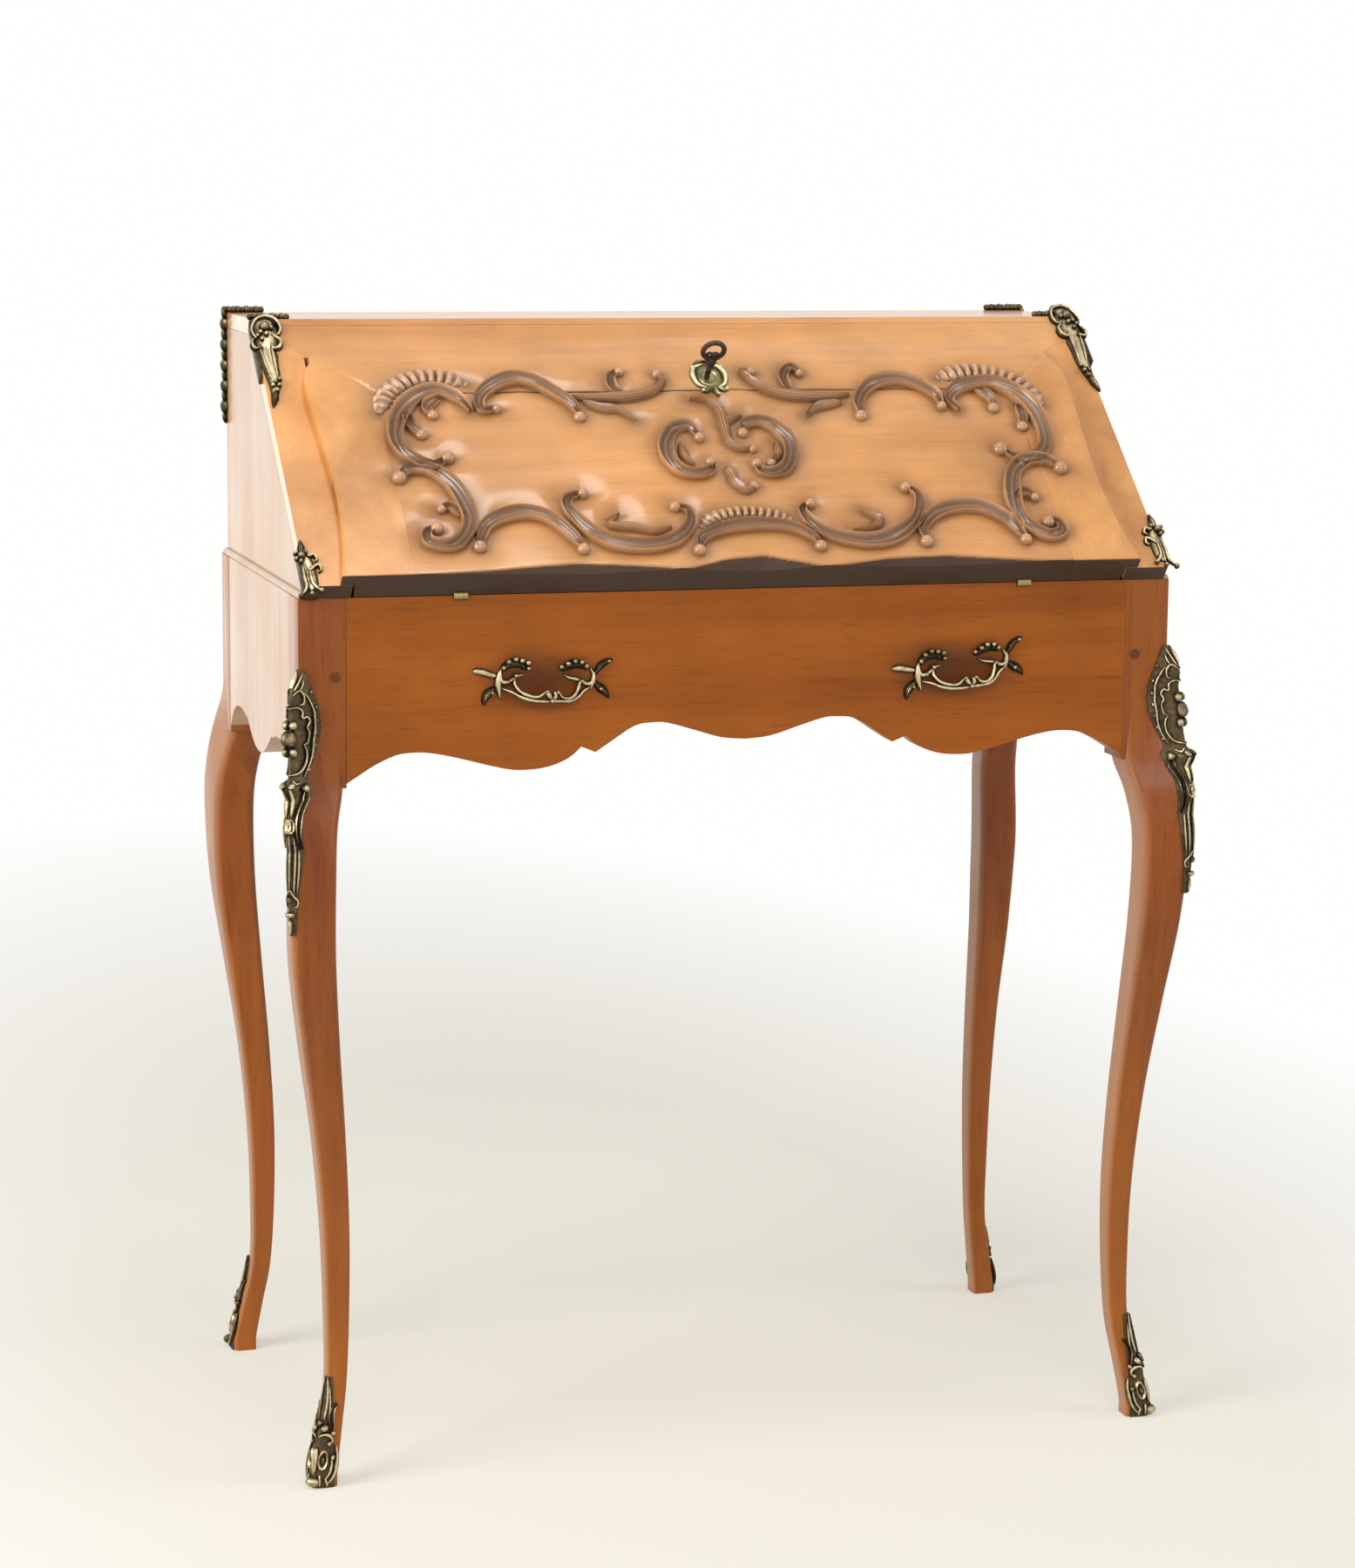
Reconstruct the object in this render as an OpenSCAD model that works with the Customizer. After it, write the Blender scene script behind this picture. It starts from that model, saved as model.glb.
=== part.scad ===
// Slant-front desk on cabriole legs. Millimetres, +Z up, front towards -Y.
// The origin is on the floor under the middle of the desk.

/* [Case] */
// Width of the lower case
case_w = 778; // [740:1:820]
// Depth of the case
case_d = 373; // [365:1:400]
// Height of the flat top
desk_h = 980; // [970:1:1000]
// Height of the writing surface and of the lid's hinge line
writing_h = 761; // [750:1:770]
// Step from the lower case's side to the upper case's side
upper_inset = 5.5; // [3:0.5:9]
// Angle of the slanted front to the floor
slope_angle = 39.9; // [38:0.1:41]

/* [Boards] */
// Thickness of the front apron
apron_t = 22; // [18:1:26]
// Thickness of the lower side panels
side_panel_t = 20; // [16:1:24]
// Thickness of the upper case sides
case_side_t = 18; // [14:1:20]
// Thickness of the back boards
back_t = 14; // [10:1:18]
// Thickness of the top board
top_t = 14; // [12:1:18]
// Height of the top board's front edge above the slanted rail
top_lip = 5.4; // [4:0.2:8]
// Thickness of the writing boards
board_t = 14; // [12:1:18]
// Thickness of the case bottom
bottom_t = 8; // [6:1:10]
// Drop from the writing height to the top of the case bottom
bottom_drop = 104.5; // [95:0.5:106]
// Thickness of the fixed slanted frame
frame_t = 14.7; // [12:0.1:18]
// Width of the fixed slanted stiles
frame_w = 39; // [34:1:44]
// Width of the fixed slanted rail over the lid
rail_w = 40.9; // [36:0.1:48]
// Depth of the front apron at its ends
apron_h = 156; // [140:1:158]
// Depth of the back board at its ends
back_h = 184; // [160:1:190]
// Radius of the moulding on the side ledge
ledge_moulding_r = 5; // [3:0.5:7]

/* [Legs] */
// Width of the square post at the top of each leg
post_w = 40.5; // [36:0.5:44]
// Length of the square post down from the writing height
post_len = 160; // [157:1:170]
// Drop from the writing height to where the knee starts
knee_drop = 106; // [100:1:112]
// Distance that the back right leg stands further in below its knee
right_tuck = 5.7; // [0:0.1:8]
// Height of a bronze shoe on a foot
shoe_h = 90; // [70:1:100]
// Thickness of the bronze on shoes and knees
bronze_t = 2.4; // [1.5:0.1:3.5]
// Diameter of a draw-bore peg
peg_d = 9; // [6:0.5:11]
// Height that a peg stands proud of the leg
peg_proud = 0.6; // [0.4:0.1:1]

/* [Lid] */
// Thickness of the lid over its raised field
lid_t = 26; // [24:0.5:28]
// Gap between the lid's body and the fixed frame
lid_gap = 2.5; // [1.5:0.5:4]
// Width of the lid's side pieces, within the body
lid_stile_w = 50; // [40:1:60]
// Width of the lid's top piece, within the body
lid_rail_w = 55; // [45:1:65]
// Overhang of the raised field past the body at its lower corners
lip_over = 13; // [10:1:16]
// Rise of the raised field's middle above its top corners
hump_rise = 15; // [8:1:18]
// Thickness of the leather on the inside of the lid
leather_t = 1.2; // [0.8:0.1:2]
// Angle that the lid opens through
lid_swing = 140.1; // [120:0.1:142]

/* [Lid hinges] */
// Distance of each hinge in from the joint of the lid's middle and side pieces
hinge_in = 40.5; // [30:0.5:80]
// Width of a hinge
hinge_w = 12; // [10:1:20]
// Radius of a hinge barrel
barrel_r = 3.5; // [3:0.1:4.5]
// Radius of a hinge pin
hinge_pin_r = 1.4; // [1.2:0.1:1.8]
// Length of a hinge leaf
leaf_len = 17; // [14:1:20]
// Thickness of a hinge leaf
leaf_t = 1.8; // [1.4:0.1:2.4]

/* [Stays] */
// Length of the long arm of a folding stay
stay_arm = 120; // [105:1:125]
// Length of the short link of a folding stay
stay_link = 60; // [50:1:66]
// Width of a stay bar
bar_w = 12; // [10:0.5:13]
// Thickness of a stay bar
bar_t = 3; // [2:0.5:4]
// Radius of a stay's rivets
rivet_r = 2; // [1.5:0.1:2.5]
// Height of the stay's rivet above the open lid's inner face
stay_lift = 11; // [9:0.5:14]

/* [Lock] */
// Sideways place of the lock and of the carving from the middle
lock_x = 9; // [0:1:14]
// Distance of the keyhole down the slope from the top of the lid's body
lock_drop = 41; // [36:1:48]
// Width of the lock case
lock_w = 62; // [50:1:70]
// Depth that the lock case is let into the lid
lock_t = 10; // [8:1:12]
// Width of the lock bolt
bolt_w = 18; // [12:1:24]
// Thickness of the lock bolt
bolt_t = 5; // [4:0.5:6]
// Travel of the lock bolt
bolt_throw = 9; // [6:0.5:10]
// Radius of the key's shank
shank_r = 2.4; // [2:0.1:3]
// Outer radius of the key's bow
bow_r = 12; // [10:0.5:14]
// Distance of the bow's centre from the lid's face
bow_reach = 34; // [30:1:38]

/* [Well] */
// Width of the well under the writing surface
well_w = 300; // [240:2:340]
// Length of the well's opening in front of the gallery
well_len = 132; // [110:1:136]
// Thickness of the well's sliding cover
cover_t = 7.6; // [6:0.2:8]
// Width of the ledges that carry the cover
ledge_w = 8; // [6:1:12]

/* [Gallery] */
// Clearance between the gallery and a stay
gallery_gap = 3; // [2:0.5:8]
// Distance of the drawer fronts from the back of the case
drawer_depth = 166.5; // [150:0.5:170]
// Distance of the pigeonhole fronts from the back of the case
pigeon_depth = 114.5; // [100:0.5:118]
// Height of the drawer openings
drawer_open_h = 50; // [40:1:54]
// Air between the gallery's top board and the top of the case
gallery_air = 9; // [4:1:30]
// Thickness of the gallery's boards
gallery_t = 6; // [5:0.5:8]
// Half the width of the open middle compartment
middle_half = 100; // [80:1:120]
// Thickness of the drawer sides
drawer_wall = 5; // [4:0.5:7]
// Running gap round a drawer
drawer_gap = 0.4; // [0.3:0.1:0.8]

/* [Pulls] */
// Distance of each pull from the middle of the apron
pull_x = 187; // [150:1:220]
// Drop from the writing height to a pull's centre
pull_drop = 72; // [60:1:80]
// Tilt of the left pull
left_tilt = 1.5; // [-8:0.5:8]
// Tilt of the right pull
right_tilt = 6; // [-8:0.5:8]
// Stand-off of a pull's swag from the apron
swag_reach = 13; // [11:0.5:18]
// Thickness of a pull's plate
pull_plate_t = 2.5; // [2:0.5:4]

/* [Corner mounts] */
// Length of a top corner mount's leaf down the slant
leaf_len_top = 112; // [90:1:120]
// Width of a top corner mount at its shell
shell_w = 24; // [18:1:28]
// Length of a top corner mount's arm along the top
arm_len = 43; // [30:1:50]
// Height of that arm over the top
arm_h = 5.4; // [4:0.2:8]
// Length of a back mount's leaf down the corner
back_leaf_len = 98; // [80:1:110]
// Length of a lower corner mount up the slant
low_mount_len = 62; // [50:1:70]
// Width of a lower corner mount on the slant
low_mount_w = 14; // [10:1:18]
// Thickness of the corner mounts
mount_t = 3; // [2:0.5:4]

/* [Carving] */
// Half the width of a carved scroll
scroll_w = 5.2; // [4:0.2:7]
// Height of a carved scroll over the lid
scroll_h = 6; // [4:0.5:8]
// Radius of the ball in a scroll's eye
ball_r = 6.4; // [5:0.2:8]

/* [Hidden] */

fine = 48;
seat = 0.3;
run_gap = 0.05;
half_w = case_w/2;
half_d = case_d/2;
upper_half = half_w - upper_inset;
upper_inner = upper_half - case_side_t;
apron_half = half_w - post_w;
side_half = half_d - post_w;
post_foot = writing_h - post_len;
knee_z = writing_h - knee_drop;
top_under = desk_h - top_t;
lip_z = desk_h - top_lip;
frame_open = upper_half - frame_w;
slope_run = cos(slope_angle);
slope_rise = sin(slope_angle);
// Up the slope, the joint between the slanted rail and the top board, and the lid's length below it
seam_s = (lip_z - writing_h - frame_t*slope_run)/slope_rise;
rail_s = seam_s - rail_w;
lid_len = rail_s - lid_gap;
lid_half = frame_open - lid_gap;
panel_half = lid_half - lid_stile_w;
panel_len = lid_len - lid_rail_w;
hinge_x = panel_half - hinge_in;
lock_s = lid_len - lock_drop;
drawer_front_y = half_d - drawer_depth;
pigeon_front_y = half_d - pigeon_depth;
// The knee bronze stands in front of the front legs only, so the frame's middle lies half of it forward
frame_shift = bronze_t/2;

// Height and place on the slanted plane, as [y, z] of the case
function on_plane(s, lift) = [
    -half_d + s*slope_run - lift*slope_rise,
    writing_h + s*slope_rise + lift*slope_run];
// Y of the slanted plane at a height, for a lift off the hinge plane
function plane_y(z, lift) = -half_d + ((z - writing_h) - lift/slope_run)/tan(slope_angle);

// Smooth curve through points, n steps a stretch
function bend(a, b, c, d, t) =
    0.5*(2*b + (c - a)*t + (2*a - 5*b + 4*c - d)*t*t + (3*b - a - 3*c + d)*t*t*t);
function curve(p, n) = concat(
    [for (i = [0:len(p) - 2], k = [0:n - 1])
        bend(p[max(i - 1, 0)], p[i], p[i + 1], p[min(i + 2, len(p) - 1)], k/n)],
    [p[len(p) - 1]]);
function flip(p) = [for (i = [len(p) - 1:-1:0]) [-p[i][0], p[i][1]]];

// Solid through rings of points, each ring anticlockwise seen from the far end
module loft(rings) {
    n = len(rings[0]);
    m = len(rings);
    points = [for (r = rings, p = r) p];
    walls = [for (i = [0:m - 2], j = [0:n - 1])
        [i*n + j, (i + 1)*n + j, (i + 1)*n + (j + 1)%n, i*n + (j + 1)%n]];
    caps = [[for (j = [0:n - 1]) j], [for (j = [n - 1:-1:0]) (m - 1)*n + j]];
    polyhedron(points, concat(walls, caps), convexity = 6);
}
module place() { translate([0, frame_shift, 0]) children(); }
module on_slope() {
    place() translate([0, -half_d, writing_h]) rotate([slope_angle, 0, 0]) children();
}
// Extrudes a [y, z] outline along X, from x0 over a length
module along_x(x0, length) {
    translate([x0, 0, 0]) rotate([90, 0, 90]) linear_extrude(length) children();
}
// Extrudes an [x, z] outline backwards from y0
module along_y(y0, length) {
    translate([0, y0 + length, 0]) rotate([90, 0, 0]) linear_extrude(length) children();
}
module box(low, high) { translate(low) cube(high - low); }
module at_corner(sx, sy) {
    mirror([sx < 0 ? 1 : 0, 0, 0]) mirror([0, sy < 0 ? 1 : 0, 0]) children();
}
module both_sides() {
    children();
    mirror([1, 0, 0]) children();
}

// Cabriole leg: fraction of the knee height, then how far the inner and outer faces lie
// outside the case's corner in x and in y, and how far the inner corners fall back, in post widths
leg_stations = [
    [0.000, -0.647, -0.138, -0.012, 0.506, 0],
    [0.022, -0.657, -0.138, -0.02, 0.501, 0],
    [0.076, -0.79, -0.316, -0.163, 0.321, 0],
    [0.137, -0.938, -0.494, -0.351, 0.104, 0],
    [0.229, -1.012, -0.504, -0.479, 0.035, 0],
    [0.336, -1.022, -0.444, -0.528, 0.054, 0],
    [0.458, -0.931, -0.267, -0.494, 0.173, 0],
    [0.580, -0.788, 0.012, -0.43, 0.37, 0],
    [0.702, -0.672, 0.281, -0.296, 0.657, 0.074],
    [0.809, -0.672, 0.36, -0.185, 0.864, 0.222],
    [0.870, -0.753, 0.321, -0.494, 0.756, 0.346],
    [0.916, -0.926, 0.222, -0.864, 0.519, 0.444],
    [0.962, -0.926, 0.049, -0.889, 0.163, 0.16],
    [1.000, -0.926, -0.005, -0.889, -0.005, 0]];
leg_steps = 2;
ring_steps = 3;
corner_round = 0.34;
leg_curve = curve(leg_stations, leg_steps);
ring_unit = [for (k = [0:3], j = [0:ring_steps])
    let (a = 90*k + 90*j/ring_steps, cx = (k == 0 || k == 3) ? 1 : -1, cy = k < 2 ? 1 : -1)
    [(1 - corner_round)*cx + corner_round*cos(a), (1 - corner_round)*cy + corner_round*sin(a)]];
// Share of the tuck at a share of the knee's height
tuck_wave = [[0, 0], [0.45, 0.61], [0.58, 0.79], [0.66, 1], [0.82, 1], [0.92, 0.5], [1, 0]];
function leg_ring(st, grow, tuck) =
    let (k = post_w, in = tuck*lookup(st[0], tuck_wave),
         x0 = half_w + k*st[1] - grow - in, x1 = half_w + k*st[2] + grow - in,
         y0 = half_d + k*st[3] - grow, y1 = half_d + k*st[4] + grow,
         y1_in = y1 - k*st[5], x1_in = x1 - 0.6*k*st[5])
    [for (p = ring_unit)
        let (u = (p[0] + 1)/2, v = (p[1] + 1)/2)
        [(1 - v)*(x0 + (x1_in - x0)*u) + v*(x0 + (x1 - x0)*u),
         (1 - u)*(y0 + (y1_in - y0)*v) + u*(y0 + (y1 - y0)*v),
         st[0]*knee_z]];
function leg_tuck(sx, sy) = sx > 0 && sy > 0 ? right_tuck : 0;
module leg_shape(first, last, grow, tuck) {
    loft([for (i = [first:last]) leg_ring(leg_curve[i], grow, tuck)]);
}
module leg(sx, sy) {
    color("saddlebrown") place() at_corner(sx, sy) difference() {
        union() {
            leg_shape(0, len(leg_curve) - 1, 0, leg_tuck(sx, sy));
            box([apron_half, side_half, post_foot], [half_w, half_d, writing_h]);
        }
        if (sy < 0)
            translate([half_w - 31, half_d - 12, writing_h - 66])
                rotate([-90, 0, 0]) cylinder(h = 13, d = peg_d, $fn = fine);
    }
}
module front_left_leg() leg(-1, -1);
module front_right_leg() leg(1, -1);
module back_left_leg() leg(-1, 1);
module back_right_leg() leg(1, 1);

// Lower edge of the front apron: share of half its length, drop as a share of its depth
apron_inner_wave = [[0, 0.831], [0.063, 0.818], [0.129, 0.774], [0.2, 0.728], [0.238, 0.723],
    [0.285, 0.738], [0.345, 0.821], [0.383, 0.876]];
apron_outer_wave = [[0.419, 0.844], [0.452, 0.905], [0.502, 0.947], [0.554, 0.960], [0.611, 0.950],
    [0.735, 0.878], [0.8, 0.849], [0.84, 0.845], [0.88, 0.856], [0.93, 0.904], [0.97, 0.958],
    [1, 1.000]];
apron_edge = [for (p = concat(curve(apron_inner_wave, 3), curve(apron_outer_wave, 3)))
    [p[0]*apron_half, writing_h - apron_h*p[1]]];
module front_apron() {
    color("sienna") place() difference() {
        along_y(-half_d, apron_t)
            polygon(concat(apron_edge, [[apron_half, writing_h], [-apron_half, writing_h]], flip(apron_edge)));
        for (x = [-hinge_x, hinge_x]) translate([x, -half_d, writing_h]) {
            rotate([0, 90, 0]) cylinder(h = hinge_w + 2*seat, r = barrel_r + seat, center = true, $fn = fine);
            box([-hinge_w/2 - seat, 0, -leaf_t], [hinge_w/2 + seat, barrel_r + leaf_len + seat, 1]);
        }
    }
}
// Lower edge of a side panel, the same way
side_inner_wave = [[0, 1.000], [0.12, 0.987], [0.25, 0.942], [0.345, 0.891], [0.39, 0.865]];
side_outer_wave = [[0.415, 0.853], [0.44, 0.862], [0.52, 0.842], [0.63, 0.833], [0.74, 0.840],
    [0.84, 0.863], [0.93, 0.917], [1, 0.987]];
side_edge = [for (p = concat(curve(side_inner_wave, 3), curve(side_outer_wave, 3)))
    [p[0]*side_half, writing_h - apron_h*p[1]]];
module side_panel() {
    along_x(half_w - side_panel_t, side_panel_t)
        polygon(concat(side_edge, [[side_half, writing_h], [-side_half, writing_h]], flip(side_edge)));
}
module left_side_panel() { color("sienna") place() mirror([1, 0, 0]) side_panel(); }
module right_side_panel() { color("sienna") place() side_panel(); }

back_wave = [[0, 0.913], [0.5, 0.913], [0.68, 0.924], [0.8, 0.973], [0.88, 1.000], [1, 1.000]];
back_edge = [for (p = curve(back_wave, 4)) [p[0]*apron_half, writing_h - back_h*p[1]]];
module back_board() {
    color("sienna") place() along_y(half_d - back_t, back_t)
        polygon(concat(back_edge, [[apron_half, writing_h], [-apron_half, writing_h]], flip(back_edge)));
}

// Outline inside the lower case, notched round the four posts
module inside_outline() {
    difference() {
        translate([-half_w + side_panel_t, -half_d + apron_t])
            square([case_w - 2*side_panel_t, case_d - apron_t - back_t]);
        for (sx = [-1, 1], sy = [-1, 1])
            translate([sx*(half_w - post_w/2), sy*(half_d - post_w/2)]) square(post_w, center = true);
    }
}
module case_bottom() {
    color("peru") place() translate([0, 0, writing_h - bottom_drop - bottom_t])
        linear_extrude(bottom_t) inside_outline();
}
well_half = well_w/2;
well_front = drawer_front_y - well_len;
well_back = half_d - back_t;
ledge_z = writing_h - cover_t - 2*seat;
module writing_boards() {
    color("peru") place() difference() {
        translate([0, 0, writing_h - board_t]) linear_extrude(board_t) inside_outline();
        box([-well_half, -half_d, writing_h - board_t - 1], [well_half, half_d, writing_h + 1]);
        box([-well_half - ledge_w, well_front, ledge_z], [well_half + ledge_w, half_d, writing_h + 1]);
    }
}
module writing_rail() {
    color("peru") place()
        box([-well_half, -half_d + apron_t, writing_h - board_t], [well_half, well_front, writing_h]);
}
module well_walls() {
    color("peru") place() {
        both_sides() box([well_half, -half_d + apron_t, writing_h - bottom_drop],
            [well_half + ledge_w, well_back, writing_h - board_t]);
        box([-well_half, well_back - ledge_w, writing_h - bottom_drop], [well_half, well_back, writing_h - board_t]);
    }
}
cover_half = well_half + ledge_w - seat;
cover_under_gallery = 12;
cover_back = drawer_front_y + cover_under_gallery;
module well_cover() {
    color("chocolate") place() difference() {
        box([-cover_half, well_front + seat, ledge_z + seat], [cover_half, cover_back, writing_h - seat]);
        box([-16, well_front + 10, writing_h - 3], [16, well_front + 16, writing_h]);
    }
}

// Upper case
module case_side() {
    y_low = plane_y(writing_h, 0);
    y_top = plane_y(top_under, 0);
    along_x(upper_inner, case_side_t)
        polygon([[y_low, writing_h], [half_d, writing_h], [half_d, top_under], [y_top, top_under]]);
}
module left_case_side() { color("sienna") place() mirror([1, 0, 0]) case_side(); }
module right_case_side() { color("sienna") place() case_side(); }
module back_panel() {
    color("sienna") place()
        box([-upper_inner, half_d - back_t, writing_h], [upper_inner, half_d, top_under]);
}
module top_board() {
    color("sienna") place() along_x(-upper_half, 2*upper_half) polygon([
        [plane_y(desk_h, frame_t), desk_h], [half_d, desk_h], [half_d, top_under],
        [plane_y(top_under, 0), top_under], [plane_y(lip_z, 0), lip_z], [plane_y(lip_z, frame_t), lip_z]]);
}
// Fixed slanted frame, mitred at its upper corners
frame_far = 400;
module frame_part(outline) {
    color("peru") difference() {
        on_slope() linear_extrude(frame_t) polygon(outline);
        place() box([-half_w, -half_d, lip_z], [half_w, half_d, desk_h + 100]);
    }
}
stile_outline = [[frame_open, 0], [upper_half, 0], [upper_half, rail_s + frame_w], [frame_open, rail_s]];
module left_slant_stile() { mirror([1, 0, 0]) frame_part(stile_outline); }
module right_slant_stile() { frame_part(stile_outline); }
module slant_rail() {
    difference() {
        frame_part([[-frame_open, rail_s], [frame_open, rail_s], [upper_half, rail_s + frame_w],
            [upper_half, frame_far], [-upper_half, frame_far], [-upper_half, rail_s + frame_w]]);
        on_slope() box([lock_x - strike_w/2, rail_s - 1, strike_low], [lock_x + strike_w/2, rail_s + leaf_t, strike_low + strike_t]);
        on_slope() bolt_mortise(rail_s + bolt_throw + 2);
    }
}
module side_mouldings() {
    color("sienna") place() both_sides() intersection() {
        translate([upper_half, -half_d, writing_h]) rotate([-90, 0, 0])
            cylinder(h = case_d, r = ledge_moulding_r, $fn = fine);
        box([upper_half, -half_d, writing_h], [half_w + 5, half_d, writing_h + 10]);
    }
}
module draw_pegs() {
    color("sienna") place() for (sx = [-1, 1]) at_corner(sx, -1)
        translate([half_w - 31, half_d - 12, writing_h - 66])
            rotate([-90, 0, 0]) cylinder(h = 12 + peg_proud, d = peg_d - 2*run_gap, $fn = fine);
}

// Lid: side of the raised field, as a share of its overhang and of the lid's length, swelling at both ends
field_wave = [[1, 0], [0.577, 0.118], [0.277, 0.257], [0.215, 0.404], [0.4, 0.588], [0.662, 0.754],
    [0.708, 0.864], [0.308, 0.934], [-0.769, 0.978], [-2.462, 1.018], [-4.462, 1.033]];
field_side = [for (p = curve(field_wave, 3)) [lid_half + p[0]*lip_over, p[1]*lid_len + (p[1] == 0 ? 2*seat : 0)]];
hump_half = 0.428*panel_half;
field_top = [for (i = [0:12]) let (x = hump_half*(1 - i/12))
    [x, 1.033*lid_len + hump_rise*(1 + cos(180*x/hump_half))/2]];
field_outline = concat(field_side, field_top, flip(concat(field_side, [for (i = [0:11]) field_top[i]])));
// The face falls away to the top along a round of this radius
crown_s = 0.846*lid_len;
crown_r = 0.886*lid_len;
module lid_shape() {
    intersection() {
        union() {
            box([-lid_half, 2*seat, 0], [lid_half, lid_len, lid_t]);
            translate([0, 0, frame_t + seat]) linear_extrude(lid_t - frame_t - seat) polygon(field_outline);
        }
        union() {
            box([-half_w, 0, -1], [half_w, crown_s, lid_t]);
            translate([0, crown_s, lid_t - crown_r]) rotate([0, 90, 0])
                cylinder(h = case_w, r = crown_r, center = true, $fn = 180);
        }
    }
}
module hinge_cuts() {
    for (x = [-hinge_x, hinge_x]) translate([x, 0, 0]) {
        rotate([0, 90, 0]) cylinder(h = hinge_w + 2*seat, r = barrel_r + seat, center = true, $fn = fine);
        box([-hinge_w/2 - seat, 0, -1], [hinge_w/2 + seat, barrel_r + leaf_len + seat, leaf_t]);
    }
}
leather_half = 0.925*panel_half;
leather_low = 0.12*panel_len;
leather_high = 0.908*panel_len;
module lid_panel() {
    color("burlywood") on_slope() difference() {
        intersection() {
            lid_shape();
            box([-panel_half, 0, -1], [panel_half, panel_len, lid_t + 1]);
        }
        hinge_cuts();
        box([-leather_half, leather_low, -1], [leather_half, leather_high, leather_t]);
        lock_hollow();
    }
}
mitre = panel_half/2;
module lid_stile() {
    intersection() {
        lid_shape();
        linear_extrude(lid_t + 1) polygon([[panel_half, 0], [half_w, 0], [half_w, panel_len + half_w - panel_half],
            [panel_half, panel_len]]);
    }
}
module lid_left_stile() { color("burlywood") on_slope() mirror([1, 0, 0]) lid_stile(); }
module lid_right_stile() { color("burlywood") on_slope() lid_stile(); }
module lid_rail() {
    color("burlywood") on_slope() difference() {
        intersection() {
            lid_shape();
            linear_extrude(lid_t + 1) polygon([[-panel_half, panel_len], [panel_half, panel_len],
                [panel_half + mitre, panel_len + mitre], [-panel_half - mitre, panel_len + mitre]]);
        }
        lock_hollow();
    }
}
module writing_leather() {
    color("darkgreen") on_slope()
        box([-leather_half + seat, leather_low + seat, 0], [leather_half - seat, leather_high - seat, leather_t]);
}

// Lock, keyhole plate, bolt and key
lock_low = lock_s - lock_drop/2;
lock_high = lid_len;
bolt_lift = 3;
bolt_back = lock_s + 2;
module keyhole(low, high) {
    translate([lock_x, lock_s, low]) {
        cylinder(h = high - low, r = shank_r + 1, $fn = fine);
        translate([-1.6, -key_bit - 1, 0]) cube([3.2, key_bit + 1, high - low]);
    }
}
module lock_hollow() {
    box([lock_x - lock_w/2, lock_low, -1], [lock_x + lock_w/2, lock_high + 1, lock_t]);
    keyhole(lock_t - 1, lid_t + 2);
}
// The rail's mortise and the strike's notch are open towards the inside of the desk
module bolt_mortise(end) {
    box([lock_x - bolt_w/2 - seat, rail_s - 2, -1], [lock_x + bolt_w/2 + seat, end, bolt_lift + bolt_t + seat]);
}
module bolt_space(end) {
    box([lock_x - bolt_w/2 - seat, bolt_back - 2, bolt_lift - seat],
        [lock_x + bolt_w/2 + seat, end, bolt_lift + bolt_t + seat]);
}
module lock_case() {
    color("goldenrod") on_slope() difference() {
        box([lock_x - lock_w/2, lock_low, 0], [lock_x + lock_w/2, lock_high, lock_t]);
        bolt_space(lock_high + 1);
        keyhole(bolt_lift, lock_t + 1);
        translate([lock_x, lock_s, bolt_lift]) cylinder(h = 6, r = key_bit + 1, $fn = fine);
    }
}
module lock_bolt() {
    color("gold") on_slope()
        box([lock_x - bolt_w/2, bolt_back + 6, bolt_lift], [lock_x + bolt_w/2, lock_high, bolt_lift + bolt_t]);
}
strike_w = bolt_w + 16;
strike_t = 10.5;
strike_low = 0;
module strike_plate() {
    color("goldenrod") on_slope() difference() {
        box([lock_x - strike_w/2, rail_s, strike_low], [lock_x + strike_w/2, rail_s + leaf_t, strike_low + strike_t]);
        bolt_mortise(rail_s + 10);
    }
}
escutcheon_r = 13;
escutcheon_t = 2;
module escutcheon() {
    color("khaki") on_slope() difference() {
        translate([lock_x, lock_s, lid_t - 1]) {
            cylinder(h = escutcheon_t + 1, r = escutcheon_r, $fn = fine);
            translate([0, -escutcheon_r - 2, 0]) cylinder(h = escutcheon_t + 1, r = 5, $fn = fine);
        }
        keyhole(lid_t - 2, lid_t + escutcheon_t + 1);
        box([-half_w, crown_s - 40, 0], [half_w, crown_s, lid_t]);
        translate([0, crown_s, lid_t - crown_r]) rotate([0, 90, 0])
            cylinder(h = case_w, r = crown_r, center = true, $fn = 180);
    }
}
key_in = bolt_lift + 1;
key_bit = 6.5;
collar_r = 4;
module key() {
    color("dimgray") on_slope() translate([lock_x, lock_s, 0]) {
        translate([0, 0, key_in]) cylinder(h = lid_t + bow_reach - bow_r - key_in + 2, r = shank_r, $fn = fine);
        box([-1, -key_bit, key_in + 0.5], [1, 0, key_in + 4]);
        translate([0, 0, lid_t + bow_reach - bow_r - 5]) cylinder(h = 3, r = collar_r, $fn = fine);
        translate([0, 0, lid_t + bow_reach]) rotate([90, 0, 0]) difference() {
            cylinder(h = 4, r = bow_r, center = true, $fn = fine);
            cylinder(h = 5, r = bow_r - 4, center = true, $fn = fine);
        }
    }
}

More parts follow.
